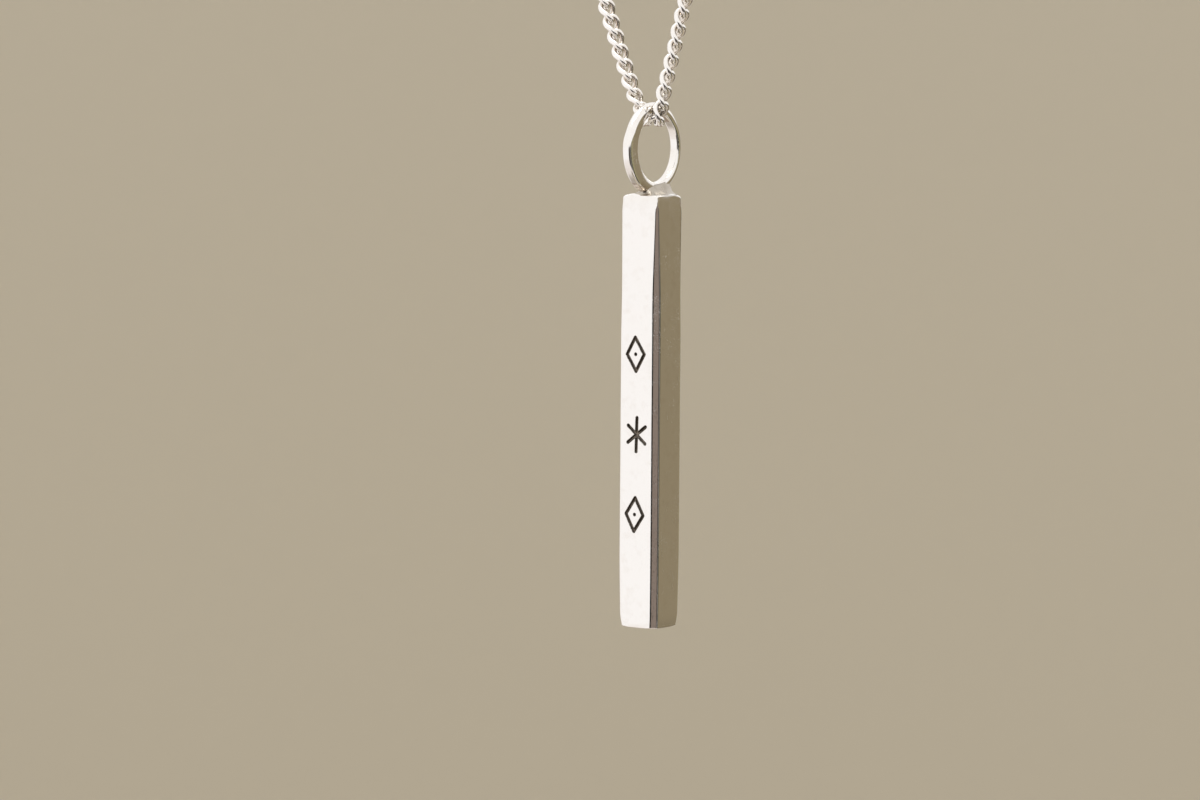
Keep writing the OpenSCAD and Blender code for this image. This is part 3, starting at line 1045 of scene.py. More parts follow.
@dataclass(frozen=True)
class StampedMark:
    """One motif that a hand-held punch has struck into the front face, with Z of its middle.

    A name that ends in _at gives shares of half a stroke's width, between which the stain
    comes in.
    """

    motif: Motif
    middle: float
    lean: float
    aside: float = 0.0
    height: float = 3.2
    width: float = 2.1
    stroke: float = 0.34
    depth: float = 0.2
    floor_share: float = 0.25
    lip: float = 0.005
    lip_away: float = 0.05
    lip_spread: float = 0.06
    rim_stain: float = 0.85
    rim_stain_at: Pair = (1.15, 0.8)
    floor_highlight_at: Pair = (0.6, 0.0)

    def strokes(self) -> np.ndarray:
        """Ends of the grooves, as rows of x, z, x, z from the mark's middle, before it leans.

        Returns:
            One row for each groove.
        """
        tall, wide = (self.height - self.stroke) / 2.0, (self.width - self.stroke) / 2.0
        if self.motif is Motif.STAR:
            ends = np.array([[0.0, tall], [wide, tall / 2.0], [wide, -tall / 2.0]])
            return np.concatenate([-ends, ends], axis=1)
        corners = np.array([[0.0, tall], [wide, 0.0], [0.0, -tall], [-wide, 0.0]])
        sides = np.concatenate([corners, np.roll(corners, -1, axis=0)], axis=1)
        return np.concatenate([sides, np.zeros((1, 4))])

    def distance(self, x: np.ndarray, z: np.ndarray) -> np.ndarray:
        """Distance from each place on the face to the nearest groove's middle line.

        For each stroke the place is carried onto the line from one end to the other and held
        between them.

        Args:
            x: Places across the face, from its middle.
            z: Heights from the mark's middle.

        Returns:
            The least distance in millimetres.
        """
        turn = math.radians(self.lean)
        x = x - self.aside
        along = x * math.cos(turn) + z * math.sin(turn)
        up = z * math.cos(turn) - x * math.sin(turn)
        place = np.stack([along, up], axis=-1)[..., None, :]
        strokes = self.strokes()
        start, run = strokes[:, :2], strokes[:, 2:] - strokes[:, :2]
        share = ((place - start) * run).sum(axis=-1) / np.maximum((run * run).sum(axis=-1), TINY)
        nearest = start + np.clip(share, 0.0, 1.0)[..., None] * run
        return np.linalg.norm(place - nearest, axis=-1).min(axis=-1)

    def push(self, away: np.ndarray, uneven: np.ndarray) -> np.ndarray:
        """Works out how far the punch has pushed the face in.

        The groove's depth falls by a step from the flat floor to the stroke's edge. A low lip,
        a bell curve of the distance, stands just outside the edge.

        Args:
            away: Distances from the middle line of the nearest groove.
            uneven: Unevenness of the depth, as a share of it.

        Returns:
            The push in millimetres, below 0 on the lip.
        """
        half = self.stroke / 2.0
        inside = smooth_step(away, half, half * self.floor_share)
        lip = np.exp(-(((away - half - self.lip_away) / self.lip_spread) ** 2))
        return self.depth * (1.0 + uneven) * inside - self.lip * lip

    def stain(self, away: np.ndarray) -> np.ndarray:
        """Darkens the groove from just outside its edge, and fully on its middle line only, where the
        material paints the floor's highlight.

        Args:
            away: Distances from the middle line of the nearest groove.

        Returns:
            The paint, from 0, bare, to 1.
        """
        half = self.stroke / 2.0
        rim, floor = (smooth_step(away, *(half * share for share in at))
                      for at in (self.rim_stain_at, self.floor_highlight_at))
        return self.rim_stain * rim + (1.0 - self.rim_stain) * floor


@dataclass
class HangingRing:
    """The large ring that hangs on the chain: an oblong section, turned about the X axis.

    A name that ends in _at gives the cosines of the angle from the top, for up and down, or its
    sines towards +Y, for back and front, between which the feature comes in.
    """

    route: ChainRoute
    offset: float = 0.28
    edge: float = 0.1
    worn_edge: float = 0.3
    worn_up_at: Pair = (0.6, 1.0)
    crisp_edge: float = 0.17
    soft_edge: float = 0.42
    soft_up_at: Pair = (0.12, 0.45)
    soft_back_at: Pair = (-0.3, 0.3)
    crown: float = 0.075
    uneven: Ripple = Ripple(0.0018, 4.0, 11)
    # Painted shade on the front of the ring's foot, where it meets the bar: how brown and how darkly mottled
    # it is, and where it comes in.
    foot_shade_brown: float = 1.8
    foot_shade_dark: float = 0.36
    foot_shade_down_at: Pair = (-0.74, -0.86)
    foot_shade_front_at: Pair = (0.2, -0.2)
    foot_shade_under: Pair = (0.6, 0.1)
    steps: int = 180
    corner_points: int = 7
    stretch: tuple[float, ...] = (0.06, 0.28, 0.5, 0.72, 0.94)

    @property
    def height(self) -> float:
        """Z of the ring's axis."""
        return self.route.level[1] + self.route.ring_inner - self.route.ring_hole / 2.0

    @property
    def outer(self) -> float:
        """Outer radius of the ring."""
        return self.route.ring_hole / 2.0 + self.route.ring_wall

    def section(self, inner: np.ndarray, soft: np.ndarray, worn: np.ndarray) -> np.ndarray:
        """Works out the section at each place round the ring: an oblong with four rounded corners.

        With a the half wall, w the half width and r a corner's radius, the corner's points lie at
        (a - r) plus r cos b from the wall's middle and (w - r) plus r sin b along the axis, for
        a quarter turn of b. Straight stretches join the corners, and the two side faces are
        crowned: a place at the share s of the half wall falls by the crown times s^2.

        Args:
            inner: Radius of the hole at each place.
            soft: Radius of the two outer corners at each place.
            worn: Radius of the two inner corners at each place.

        Returns:
            Distances from the ring's axis and places along it, of shape (places, corners, 2).
        """
        wall, wide = (self.outer - inner) / 2.0, self.route.ring_width / 2.0
        middle = (self.outer + inner) / 2.0
        bend = np.linspace(0.0, np.pi / 2.0, self.corner_points)
        stretch = np.array(self.stretch)[None, :, None]
        arcs = []
        for quarter, (out, aside) in enumerate([(1, 1), (-1, 1), (-1, -1), (1, -1)]):
            radius = soft if out > 0 else worn
            angle = bend + quarter * np.pi / 2.0
            reach = middle + out * (wall - radius)
            along = aside * (wide - radius)
            arcs.append(np.stack([reach[:, None] + radius[:, None] * np.cos(angle),
                                  along[:, None] + radius[:, None] * np.sin(angle)], axis=-1))
        parts = []
        for arc, following in zip(arcs, arcs[1:] + arcs[:1]):
            parts += [arc, arc[:, -1:] + (following[:, :1] - arc[:, -1:]) * stretch]
        section = np.concatenate(parts, axis=1)
        share = (section[..., 0] - middle[:, None]) / wall[:, None]
        section[..., 1] -= self.crown * share ** 2 * section[..., 1] / wide
        return section

    def piece(self) -> bpy.types.Object:
        """Makes the ring: its section is carried round the X axis.

        The hole is a little off the middle, so its radius grows with the sine of the angle from
        the top towards +Y. The chain has worn the hole's edges round at the top, and the outer
        edges are crisp only on the lower front. The front of the ring's foot, where it meets the
        bar and the solder, is browned and mottled dark as painted shade.

        Returns:
            The ring as one closed mesh with the paints wear, shade and oxide; the last two hold painted shade
            at the foot.
        """
        route = self.route
        a = 2.0 * np.pi * np.arange(self.steps) / self.steps
        up, back = np.cos(a), np.sin(a)
        inner = route.ring_hole / 2.0 + self.offset * back
        rubbed = smooth_step(up, *self.worn_up_at)
        worn = self.edge + (self.worn_edge - self.edge) * rubbed
        rounded = np.maximum(smooth_step(up, *self.soft_up_at), smooth_step(back, *self.soft_back_at))
        soft = self.crisp_edge + (self.soft_edge - self.crisp_edge) * rounded
        section = self.section(inner, soft, worn)
        reach, aside = section[..., 0], section[..., 1]
        grid = np.stack([aside, reach * back[:, None], reach * up[:, None]], axis=-1)
        grid *= 1.0 + self.uneven.at(grid)[..., None]
        grid += np.array([route.hinge[0], 0.0, self.height])
        quarter = self.corner_points + len(self.stretch)
        corner = np.arange(section.shape[1]) % quarter < self.corner_points
        wear = np.broadcast_to(np.where(corner, 1.0, 0.0), grid.shape[:2])
        # Painted shade: the front of the foot, next to the bar and the solder, is browned and mottled dark.
        shaded_foot = smooth_step(up, *self.foot_shade_down_at) * smooth_step(back, *self.foot_shade_front_at)
        outward = smooth_step(reach, *(self.outer - under for under in self.foot_shade_under))
        stain = (shaded_foot[:, None] * outward)[None]
        skin = Skin()
        shade, oxide = self.foot_shade_brown * stain, self.foot_shade_dark * stain
        skin.add(grid[None], wear=wear[None], shade=shade, oxide=oxide)
        return skin.piece("hanging_ring")


class Zone(IntEnum):
    """The zones of each quarter of the bar's outline, in order."""

    FLAT = 0
    FIRST_EDGE = 1
    BEVEL = 2
    SECOND_EDGE = 3


@dataclass
class StampedBar:
    """The square bar with bevelled edges, low domed ends and three stamped marks.

    The four falls of the corners are for those between front and right, right and back, back and
    left, and left and front. Shares of a flat and of a bevel run from -1 to 1 across them.
    """

    ring: HangingRing
    ring_sink: float = 0.16
    side: float = 4.04
    length: float = 37.0
    bevel: float = 0.48
    top_bevel: float = 0.2
    bevel_run: float = 10.0
    bevel_end: float = 0.03
    bevel_end_at: Pair = (0.95, 1.35)
    edge_radius: float = 0.3
    edge_share: float = 0.62
    crown: float = 0.012
    top_narrowing: float = 0.14
    top_narrowing_run: float = 13.0
    foot_narrowing: float = 0.06
    foot_narrowing_run: float = 7.0
    top_tuck: float = 0.07
    foot_tuck: float = 0.13
    tuck_run: float = 1.44
    top_rise: float = 0.2
    foot_rise: float = 0.13
    top_edge: float = 0.07
    foot_edge: float = 0.05
    edge_power: int = 6
    top_corners: tuple[float, float, float, float] = (0.1, 0.55, 0.45, 0.4)
    foot_corners: tuple[float, float, float, float] = (0.08, 0.14, 0.14, 0.12)
    corner_power: int = 6
    corner_run: float = 3.0
    uneven: Ripple = Ripple(0.0016, 7.0, 4)
    mark_pitch: float = 6.8
    mark_middle: float = 16.6
    mark_margin: float = 0.25
    uneven_marks: Ripple = Ripple(0.16, 0.9, 7)
    fine_step: float = 0.036
    coarse_step: float = 0.32
    flat_columns: tuple[float, ...] = (-1.0, -0.97, -0.8, -0.4, 0.0, 0.4, 0.8, 0.97, 1.0)
    bevel_columns: tuple[float, ...] = (-1.0, -0.8, 0.0, 0.8, 1.0)
    edge_steps: int = 8
    cap_rows: tuple[float, ...] = (
        0.2, 0.4, 0.58, 0.72, 0.82, 0.88, 0.92, 0.95, 0.97, 0.982, 0.99, 0.995, 0.998)

    @property
    def axis(self) -> float:
        """X of the bar's axis, right under the pendant's hinge."""
        return self.ring.route.hinge[0]

    @property
    def top(self) -> float:
        """Z of the top of the bar's dome, in which the ring's foot is a little sunk."""
        return self.ring.height - self.ring.outer + self.ring_sink

    @property
    def foot(self) -> float:
        """Z of the bar's foot."""
        return self.top - self.length

    def marks(self) -> list[StampedMark]:
        """The three marks, from the top down, each struck a little askew.

        Returns:
            The marks.
        """
        middle = self.foot + self.mark_middle
        return [StampedMark(Motif.LOZENGE, middle + self.mark_pitch, lean=2.0, aside=-0.15),
                StampedMark(Motif.STAR, middle, lean=-1.5),
                StampedMark(Motif.LOZENGE, middle - self.mark_pitch, lean=-2.5, aside=-0.15)]

    def half_side(self, z: np.ndarray) -> np.ndarray:
        """Half of the bar's width at a height: full round the marks and narrower to both ends.

        Args:
            z: Heights, one for each row.

        Returns:
            Half of the width at each height.
        """
        narrow = self.top_narrowing * smooth_step(z, self.top - self.top_narrowing_run, self.top)
        narrow += self.foot_narrowing * smooth_step(z, self.foot + self.foot_narrowing_run, self.foot)
        narrow += self.top_tuck * np.clip(1.0 - (self.top - z) / self.tuck_run, 0.0, 1.0) ** 2
        narrow += self.foot_tuck * np.clip(1.0 - (z - self.foot) / self.tuck_run, 0.0, 1.0) ** 2
        return self.side / 2.0 - narrow

    def bevel_at(self, z: np.ndarray) -> np.ndarray:
        """Width of the bevel for each height and column: filed narrower towards the top end.

        At the corner between front and right it runs out just under the top.

        Args:
            z: Heights, one for each row.

        Returns:
            The width, one row for each height.
        """
        under = self.top - z
        wide = self.top_bevel + (self.bevel - self.top_bevel) * smooth_step(under, 0.0, self.bevel_run)
        ended = self.bevel_end + (wide - self.bevel_end) * smooth_step(under, *self.bevel_end_at)
        return np.where(self.nearer_corner() == 0, ended[:, None], wide[:, None])

    def columns(self) -> tuple[np.ndarray, np.ndarray, np.ndarray]:
        """Lays out the columns of one turn round the bar.

        Each quarter has a flat, a rounded edge, a bevel and a rounded edge. The front flat has a
        column every fine step.

        Returns:
            For each column: its quarter, from the front round to the right, its zone, and its
            share of that zone.
        """
        wide = self.side - 2.0 * self.bevel
        fine = np.linspace(-1.0, 1.0, round(wide / self.fine_step))
        turn = np.linspace(0.0, 1.0, self.edge_steps + 1)[1:-1]
        quarters, zones, shares = [], [], []
        for quarter in range(4):
            flat = fine if quarter == 0 else np.array(self.flat_columns)
            for zone, share in zip(Zone, [flat, turn, np.array(self.bevel_columns), turn]):
                quarters.append(np.full(len(share), quarter))
                zones.append(np.full(len(share), zone))
                shares.append(share)
        return np.concatenate(quarters), np.concatenate(zones), np.concatenate(shares)

    def nearer_corner(self) -> np.ndarray:
        """The corner that each column lies on or nearer to: 0 between front and right, then round."""
        quarter, zone, share = self.columns()
        return np.where((zone == Zone.FLAT) & (share < 0.0), quarter - 1, quarter) % 4

    def section(self, z: np.ndarray) -> np.ndarray:
        """Works out the bar's outline at each height.

        With h the half side, b the bevel, r the edge radius and t = r tan 22.5 deg, the flat runs
        to h - b - t, an arc of radius r turns by 45 deg, the bevel runs straight and a second arc
        turns by 45 deg. A quarter is turned by 90 deg for the next one. Flats are crowned by a
        parabola.

        Args:
            z: Heights, one for each row.

        Returns:
            X and Y of shape (rows, columns, 2), from the bar's axis.
        """
        quarter, zone, share = self.columns()
        h, b = self.half_side(z)[:, None], self.bevel_at(z)
        r = np.minimum(self.edge_radius, b * self.edge_share)
        t = r * math.tan(EIGHTH_TURN / 2.0)
        flat_end = h - b - t
        bend = (np.where(zone == Zone.FIRST_EDGE, share, 1.0 + share) * EIGHTH_TURN)[None, :]
        first = np.stack([flat_end + r * np.sin(bend), -h + r - r * np.cos(bend)], axis=-1)
        second = np.stack([h - r + r * np.sin(bend), -flat_end - r * np.cos(bend)], axis=-1)
        slant = math.sin(EIGHTH_TURN)
        from_x, from_y = flat_end + r * slant, -h + r - r * slant
        to_x, to_y = h - r + r * slant, -flat_end - r * slant
        part = (1.0 + share) / 2.0
        bevel = np.stack([from_x + (to_x - from_x) * part, from_y + (to_y - from_y) * part], axis=-1)
        flat_x = share * flat_end
        flat = np.stack([flat_x, np.broadcast_to(-h + self.crown * share ** 2, flat_x.shape)], axis=-1)
        kinds = [zone[None, :, None] == kind for kind in (Zone.FLAT, Zone.FIRST_EDGE, Zone.BEVEL)]
        place = np.select(kinds, [flat, first, bevel], second)
        angle = quarter * np.pi / 2.0
        x = place[..., 0] * np.cos(angle) - place[..., 1] * np.sin(angle)
        y = place[..., 0] * np.sin(angle) + place[..., 1] * np.cos(angle)
        return np.stack([x, y], axis=-1)

    def corner_fall(self, corners: tuple[float, float, float, float]) -> np.ndarray:
        """Works out how much further each column's end is filed away than the middle of a side.

        Over a flat the fall of the nearer corner fades in with the sixth power of the distance
        from the flat's middle.

        Args:
            corners: Falls at the four corners.

        Returns:
            The fall in millimetres, one for each column.
        """
        _, zone, share = self.columns()
        fade = np.where(zone == Zone.FLAT, np.abs(share) ** self.corner_power, 1.0)
        return np.array(corners)[self.nearer_corner()] * fade

    def heights(self, low: float, high: float) -> np.ndarray:
        """Heights of the wall's rows, from high to low: fine steps across each mark, coarse between.

        Args:
            low: Height of the last row.
            high: Height of the first row.

        Returns:
            The heights in falling order.
        """
        reach = StampedMark.height / 2.0 + self.mark_margin
        rows = np.linspace(low, high, round((high - low) / self.coarse_step))
        for mark in self.marks():
            fine = np.arange(mark.middle - reach, mark.middle + reach, self.fine_step)
            rows = np.concatenate([rows[np.abs(rows - mark.middle) > reach], fine])
        return np.sort(rows)[::-1]

    def cap(self, edge: np.ndarray, end: float, way: float, rise: float, rounding: np.ndarray) -> np.ndarray:
        """Closes one end of the bar with a low dome and a softened edge.

        With q the share of the way from the axis to the wall, the surface lies below the end by
        rise q^2 plus rounding (1 - (1 - q^6)^(1/6)), so it meets the wall upright.

        Args:
            edge: X and Y of the wall's first or last row.
            end: Z of the dome's middle.
            way: 1 for the top and -1 for the foot.
            rise: Height of the dome at the middle of a side.
            rounding: Height of the rounded edge at each column.

        Returns:
            Rows from the axis to the wall, without the wall's own row.
        """
        q = np.array(self.cap_rows)[:, None]
        down = rise * q ** 2 + rounding * (1.0 - (1.0 - q ** self.edge_power) ** (1.0 / self.edge_power))
        place = q[..., None] * edge[None]
        return np.concatenate([place, (end - way * down)[..., None]], axis=-1)

    def piece(self) -> bpy.types.Object:
        """Makes the bar with its stamped marks.

        The wall's rows and columns lie between two domed caps. Each mark pushes the front flat in
        and stains it with oxide, with a painted highlight on the groove's floor, and the bevels
        and edges are worn.

        Returns:
            The bar as one closed mesh with the paints oxide and wear.
        """
        quarter, zone, share = self.columns()
        top_fall, foot_fall = self.corner_fall(self.top_corners), self.corner_fall(self.foot_corners)
        high, low = self.top - self.top_rise - self.top_edge, self.foot + self.foot_rise + self.foot_edge
        z = self.heights(low, high)
        wall = np.concatenate([self.section(z), np.repeat(z[:, None, None], len(zone), axis=1)], axis=-1)
        wall[..., 2] -= top_fall * smooth_step(z, high - self.corner_run, high)[:, None]
        wall[..., 2] += foot_fall * smooth_step(z, low + self.corner_run, low)[:, None]
        top_cap = self.cap(wall[0, :, :2], self.top, 1.0, self.top_rise, self.top_edge + top_fall)
        foot_cap = self.cap(wall[-1, :, :2], self.foot, -1.0, self.foot_rise, self.foot_edge + foot_fall)
        grid = np.concatenate([top_cap, wall, foot_cap[::-1]])
        grid[..., :2] *= 1.0 + self.uneven.at(grid)[..., None]
        front = (quarter == 0) & (zone == Zone.FLAT)
        oxide = np.zeros(grid.shape[:2])
        for mark in self.marks():
            away = mark.distance(grid[..., 0], grid[..., 2] - mark.middle)
            grid[..., 1] += np.where(front, mark.push(away, self.uneven_marks.at(grid)), 0.0)
            oxide = np.maximum(oxide, np.where(front, mark.stain(away), 0.0))
        wear = np.broadcast_to(np.where(zone == Zone.FLAT, 0.0, 1.0), grid.shape[:2])
        grid[..., 0] += self.axis
        poles = np.array([[[self.axis, 0.0, self.top], [self.axis, 0.0, self.foot]]])
        skin = Skin()
        skin.add(grid[None], poles, oxide=oxide[None], wear=wear[None])
        return skin.piece("stamped_bar")


@dataclass
class SolderFoot:
    """The solder that climbs from the bar's dome to the ring's foot.

    Sizes lie from the bar's axis, and a pair of them goes across the ring, then along it. The
    upper line lies on the ring and the lower one on the dome. Powers below 1 square the lines
    off, and the crevice is a spot of painted shadow on the front where the solder is thin, in
    the gap between the ring and the dome.
    """

    bar: StampedBar
    upper_half: Pair = (0.43, 1.85)
    upper_power: Pair = (0.4, 0.9)
    upper_shift: float = 0.47
    climb: float = 0.86
    climb_power: float = 0.8
    lower_right: float = 1.8
    lower_left: float = 1.5
    lower_along: float = 1.69
    lower_power: float = 0.6
    lower_shift: float = 0.21
    seat: float = 0.04
    hollow: float = 0.85
    lumps: Ripple = Ripple(0.03, 0.9, 21)
    sag: Ripple = Ripple(0.03, 1.1, 22)
    pole_up: float = 0.5
    pole_down: float = 0.8
    # Painted shadow in the gap between the ring's outer band and the dome: its place, size and darkness.
    crevice: Triple = (0.25, -1.42, 0.1)
    crevice_size: float = 0.2
    crevice_shadow: float = 0.75
    rows: int = 14
    columns: int = 96

    def upper_line(self, turn: np.ndarray) -> np.ndarray:
        """Works out the line on the ring: a squared oval that climbs the ring's sides.

        Args:
            turn: Angles round the foot.

        Returns:
            The points, from the bar's axis.
        """
        cos, sin = np.cos(turn), np.sin(turn)
        outer = self.bar.ring.outer
        x = self.upper_half[0] * signed_power(cos, self.upper_power[0])
        y = self.upper_shift + self.upper_half[1] * signed_power(sin, self.upper_power[1])
        rise = outer - np.sqrt(outer ** 2 - y ** 2) + self.climb * np.abs(cos) ** self.climb_power
        return np.stack([x, y, self.bar.top - self.bar.ring_sink + rise], axis=-1)

    def lower_line(self, turn: np.ndarray) -> np.ndarray:
        """Works out the line on the dome: a squared oval, wider to the right.

        Args:
            turn: Angles round the foot.

        Returns:
            The points, from the bar's axis.
        """
        cos, sin = np.cos(turn), np.sin(turn)
        x = np.where(cos > 0.0, self.lower_right, self.lower_left) * signed_power(cos, self.lower_power)
        y = self.lower_shift + self.lower_along * signed_power(sin, self.lower_power)
        share = np.maximum(np.abs(x), np.abs(y)) / (self.bar.side / 2.0)
        return np.stack([x, y, self.bar.top - self.bar.top_rise * share ** 2 - self.seat], axis=-1)

    def piece(self) -> bpy.types.Object:
        """Makes the solder.

        Between the two lines the surface leaves the ring upright and reaches the dome flat: the
        way out goes with a power of 1 - cos v and the way down with sin v, v from 0 to 90 deg.
        It is lumpy between.

        Returns:
            The solder as one closed mesh with the paint oxide, which holds the painted shadow of the crevice.
        """
        turn = 2.0 * np.pi * np.arange(self.columns) / self.columns
        upper, lower = self.upper_line(turn), self.lower_line(turn)
        v = np.linspace(0.0, np.pi / 2.0, self.rows)[:, None]
        out, down = (1.0 - np.cos(v)) ** self.hollow, np.sin(v)
        grid = upper + (lower - upper) * np.stack([out, out, down], axis=-1)
        free = np.sin(v * 2.0)
        grid[..., :2] *= 1.0 + (self.lumps.at(grid) * free)[..., None]
        grid[..., 2] += self.sag.at(grid) * free
        x, top = self.bar.axis, self.bar.top
        grid[..., 0] += x
        high = top - self.bar.ring_sink + self.pole_up
        poles = np.array([[[x, 0.0, high], [x, 0.0, top - self.pole_down]]])
        # Painted shadow: a dark spot of oxide paint in the gap between the ring and the dome.
        away = np.linalg.norm(grid - np.array([x, 0.0, top]) - self.crevice, axis=-1)
        gap_shadow = self.crevice_shadow * np.exp(-((away / self.crevice_size) ** 2))
        skin = Skin()
        skin.add(grid[None], poles, oxide=gap_shadow[None])
        return skin.piece("solder_foot")


@dataclass(frozen=True)
class Tone:
    """One patch of the panels that the metal mirrors: its azimuths, its colour and its elevations.

    Towards its low end the colour deepens to the share deep of itself.
    """

    start: float
    end: float
    colour: Triple
    low: float = -20.0
    high: float = 2.0
    deep: float = 1.0


@dataclass
class Studio:
    """A plain pale floor that curves up into a wall, soft light, and the camera.

    Azimuths go from the front, -Y, round by the right, +X, and elevations up from level, both in
    degrees. Each row of the base is an elevation and the colour that the panels have there.
    """

    floor_drop: float = 1100.0
    floor_flat: float = 1700.0
    floor_curve: float = 600.0
    wall_height: float = 1900.0
    floor_hole: float = 1.0
    floor_steps: int = 96
    floor_bends: int = 17
    floor_colour: Triple = (0.66, 0.612, 0.517)
    floor_rough: float = 0.9
    room_colour: Triple = (1.0, 0.98, 0.95)
    room_light: float = 0.55
    lamp_place: Triple = (-200.0, -300.0, 1300.0)
    lamp_size: float = 1600.0
    lamp_power: float = 30.0
    lamp_colour: Triple = (1.0, 0.985, 0.96)
    panel_radius: float = 620.0
    panel_low: float = -66.0
    panel_high: float = 72.0
    panel_fade: float = 8.0
    panel_step: float = 1.0
    tone_fade: float = 4.0
    deep_from: Pair = (-10.0, -36.0)
    base: tuple[tuple[float, float, float, float], ...] = (
        (-66.0, 0.22, 0.18, 0.13),
        (-57.0, 0.28, 0.235, 0.18),
        (-47.0, 0.84, 0.775, 0.735),
        (-22.0, 0.94, 0.885, 0.855),
        (-5.0, 0.99, 0.96, 0.945),
        (12.0, 1.03, 1.01, 0.995),
    )
    azimuth: float = 35.7
    elevation: float = 5.0
    distance: float = 380.0
    field_width: float = 101.7
    sensor: float = 36.0
    clip: Pair = (0.01, 20.0)
    roll: float = 0.4
    aim_drop: float = 21.34
    aim_aside: float = 4.28
    tones: tuple[Tone, ...] = (
        Tone(-152.0, -141.0, (0.34, 0.27, 0.21), -66.0, -4.0),
        Tone(-136.0, -120.0, (0.3, 0.235, 0.18), -66.0, -18.0),
        Tone(-112.0, -104.0, (0.3, 0.235, 0.18), -66.0, -40.0),
        Tone(-100.0, 3.0, (1.03, 1.013, 1.015)),
        Tone(6.0, 46.0, (0.02, 0.018, 0.017), -34.0),
        Tone(51.0, 58.5, (0.25, 0.2, 0.17), -34.0, 4.0),
        Tone(63.0, 85.0, (0.03, 0.027, 0.026), -34.0),
        Tone(87.0, 94.0, (0.5, 0.47, 0.42)),
        Tone(98.0, 122.0, (0.03, 0.032, 0.02), -40.0),
        Tone(126.0, 130.0, (0.35, 0.315, 0.185), -34.0, 4.0),
        Tone(136.0, 168.0, (0.275, 0.227, 0.147), -48.0, 4.0, 0.5),
        Tone(185.0, 200.0, (0.5, 0.47, 0.42), -30.0, 8.0),
    )

    def made(self, name: str, points: np.ndarray, material: bpy.types.Material) -> bpy.types.Object:
        """Makes a stage surface from an open grid of points in millimetres, its columns closed.

        Args:
            name: The object's name.
            points: Points of shape (rows, columns, 3).
            material: Its material.

        Returns:
            The stage object.
        """
        rows, columns, _ = points.shape
        here = np.arange(rows * columns).reshape(rows, columns)
        beside = np.roll(here, -1, axis=1)
        quads = np.stack([here[:-1], beside[:-1], beside[1:], here[1:]], axis=-1).reshape(-1, 4)
        mesh = bpy.data.meshes.new(name)
        mesh.from_pydata((points.reshape(-1, 3) * MM).tolist(), [], quads.tolist())
        mesh.shade_smooth()
        mesh.materials.append(material)
        stage = bpy.data.objects.new(name, mesh)
        bpy.context.collection.objects.link(stage)
        return stage

    def floor(self, foot: float) -> bpy.types.Object:
        """Makes the floor and wall: a flat disc, a quarter circle and a straight wall, turned about Z.

        Args:
            foot: Z of the lowest point of the object.

        Returns:
            The stage object.
        """
        bend = np.linspace(0.0, np.pi / 2.0, self.floor_bends)
        reach = self.floor_flat + self.floor_curve
        out = np.concatenate([[self.floor_hole, self.floor_flat / 2.0],
                              self.floor_flat + self.floor_curve * np.sin(bend), [reach]])
        up = np.concatenate([[0.0, 0.0], self.floor_curve * (1.0 - np.cos(bend)), [self.wall_height]])
        up = np.broadcast_to((up + foot - self.floor_drop)[:, None], (len(up), self.floor_steps))
        a = 2.0 * np.pi * np.arange(self.floor_steps) / self.floor_steps
        points = np.stack([out[:, None] * np.cos(a), out[:, None] * np.sin(a), up], axis=-1)
        sheet = NodeSheet("pale_floor")
        matt = sheet.add("ShaderNodeBsdfPrincipled", Base_Color=(*self.floor_colour, 1),
                         Roughness=self.floor_rough)
        return self.made("pale_floor", points, sheet.surface(matt))

    def soft_panels(self, middle: float) -> bpy.types.Object:
        """Makes the ball of soft panels that only the metal's reflections see.

        A base colour grades from a warm grey far below to white above. Over it lie the tones:
        the colour and the elevations at an azimuth run straight between the ends of neighbouring
        tones, and each patch fades into the base above and below.

        Args:
            middle: Z of the ball's middle.

        Returns:
            The stage object.
        """
        turn = np.arange(0.0, FULL_CIRCLE, self.panel_step)
        rise = np.arange(self.panel_low, self.panel_high + self.panel_step, self.panel_step)
        at = np.array([edge for tone in self.tones for edge in (tone.start, tone.end)])
        rows = [(*tone.colour, tone.low, tone.high, tone.deep) for tone in self.tones]
        values = np.repeat(np.array(rows), 2, axis=0)
        patch = np.stack([np.interp(turn, at, column, period=FULL_CIRCLE) for column in values.T])
        tint, (low, high, deepest) = patch[:3].T, patch[3:]
        up = rise[:, None]
        share = smooth_step(up - low, -self.tone_fade, 0.0) * smooth_step(up - high, self.tone_fade, 0.0)
        base = np.array(self.base)
        under = np.stack([np.interp(rise, base[:, 0], column) for column in base[:, 1:].T], axis=-1)[:, None]
        deep = 1.0 - (1.0 - deepest) * smooth_step(up, *self.deep_from)
        colour = under + (tint * deep[..., None] - under) * share[..., None]
        cover = smooth_step(rise, self.panel_low, self.panel_low + self.panel_fade)
        cover = cover * smooth_step(rise, self.panel_high, self.panel_high - self.panel_fade)
        a, e = np.radians(turn)[None, :], np.radians(rise)[:, None]
        points = self.panel_radius * np.stack([np.cos(e) * np.sin(a), -np.cos(e) * np.cos(a),
                                               np.sin(e) + 0.0 * a], axis=-1)
        points[..., 2] += middle
        sheet = NodeSheet("soft_panels")
        paint = sheet.attribute("tone")
        glow = sheet.add("ShaderNodeEmission", Color=paint.outputs["Color"], Strength=1.0)
        clear = sheet.add("ShaderNodeBsdfTransparent")
        mixed = sheet.add("ShaderNodeMixShader")
        for socket, source in zip(mixed.inputs, (paint.outputs["Alpha"], clear.outputs[0], glow.outputs[0])):
            sheet.feed(socket, source)
        ball = self.made("soft_panels", points, sheet.surface(mixed))
        layer = ball.data.attributes.new("tone", "FLOAT_COLOR", "POINT")
        cover = np.broadcast_to(cover[:, None, None], (*colour.shape[:2], 1))
        layer.data.foreach_set("color", np.concatenate([colour, cover], axis=-1).astype(np.float32).ravel())
        ball.visible_camera = ball.visible_diffuse = ball.visible_shadow = False
        return ball

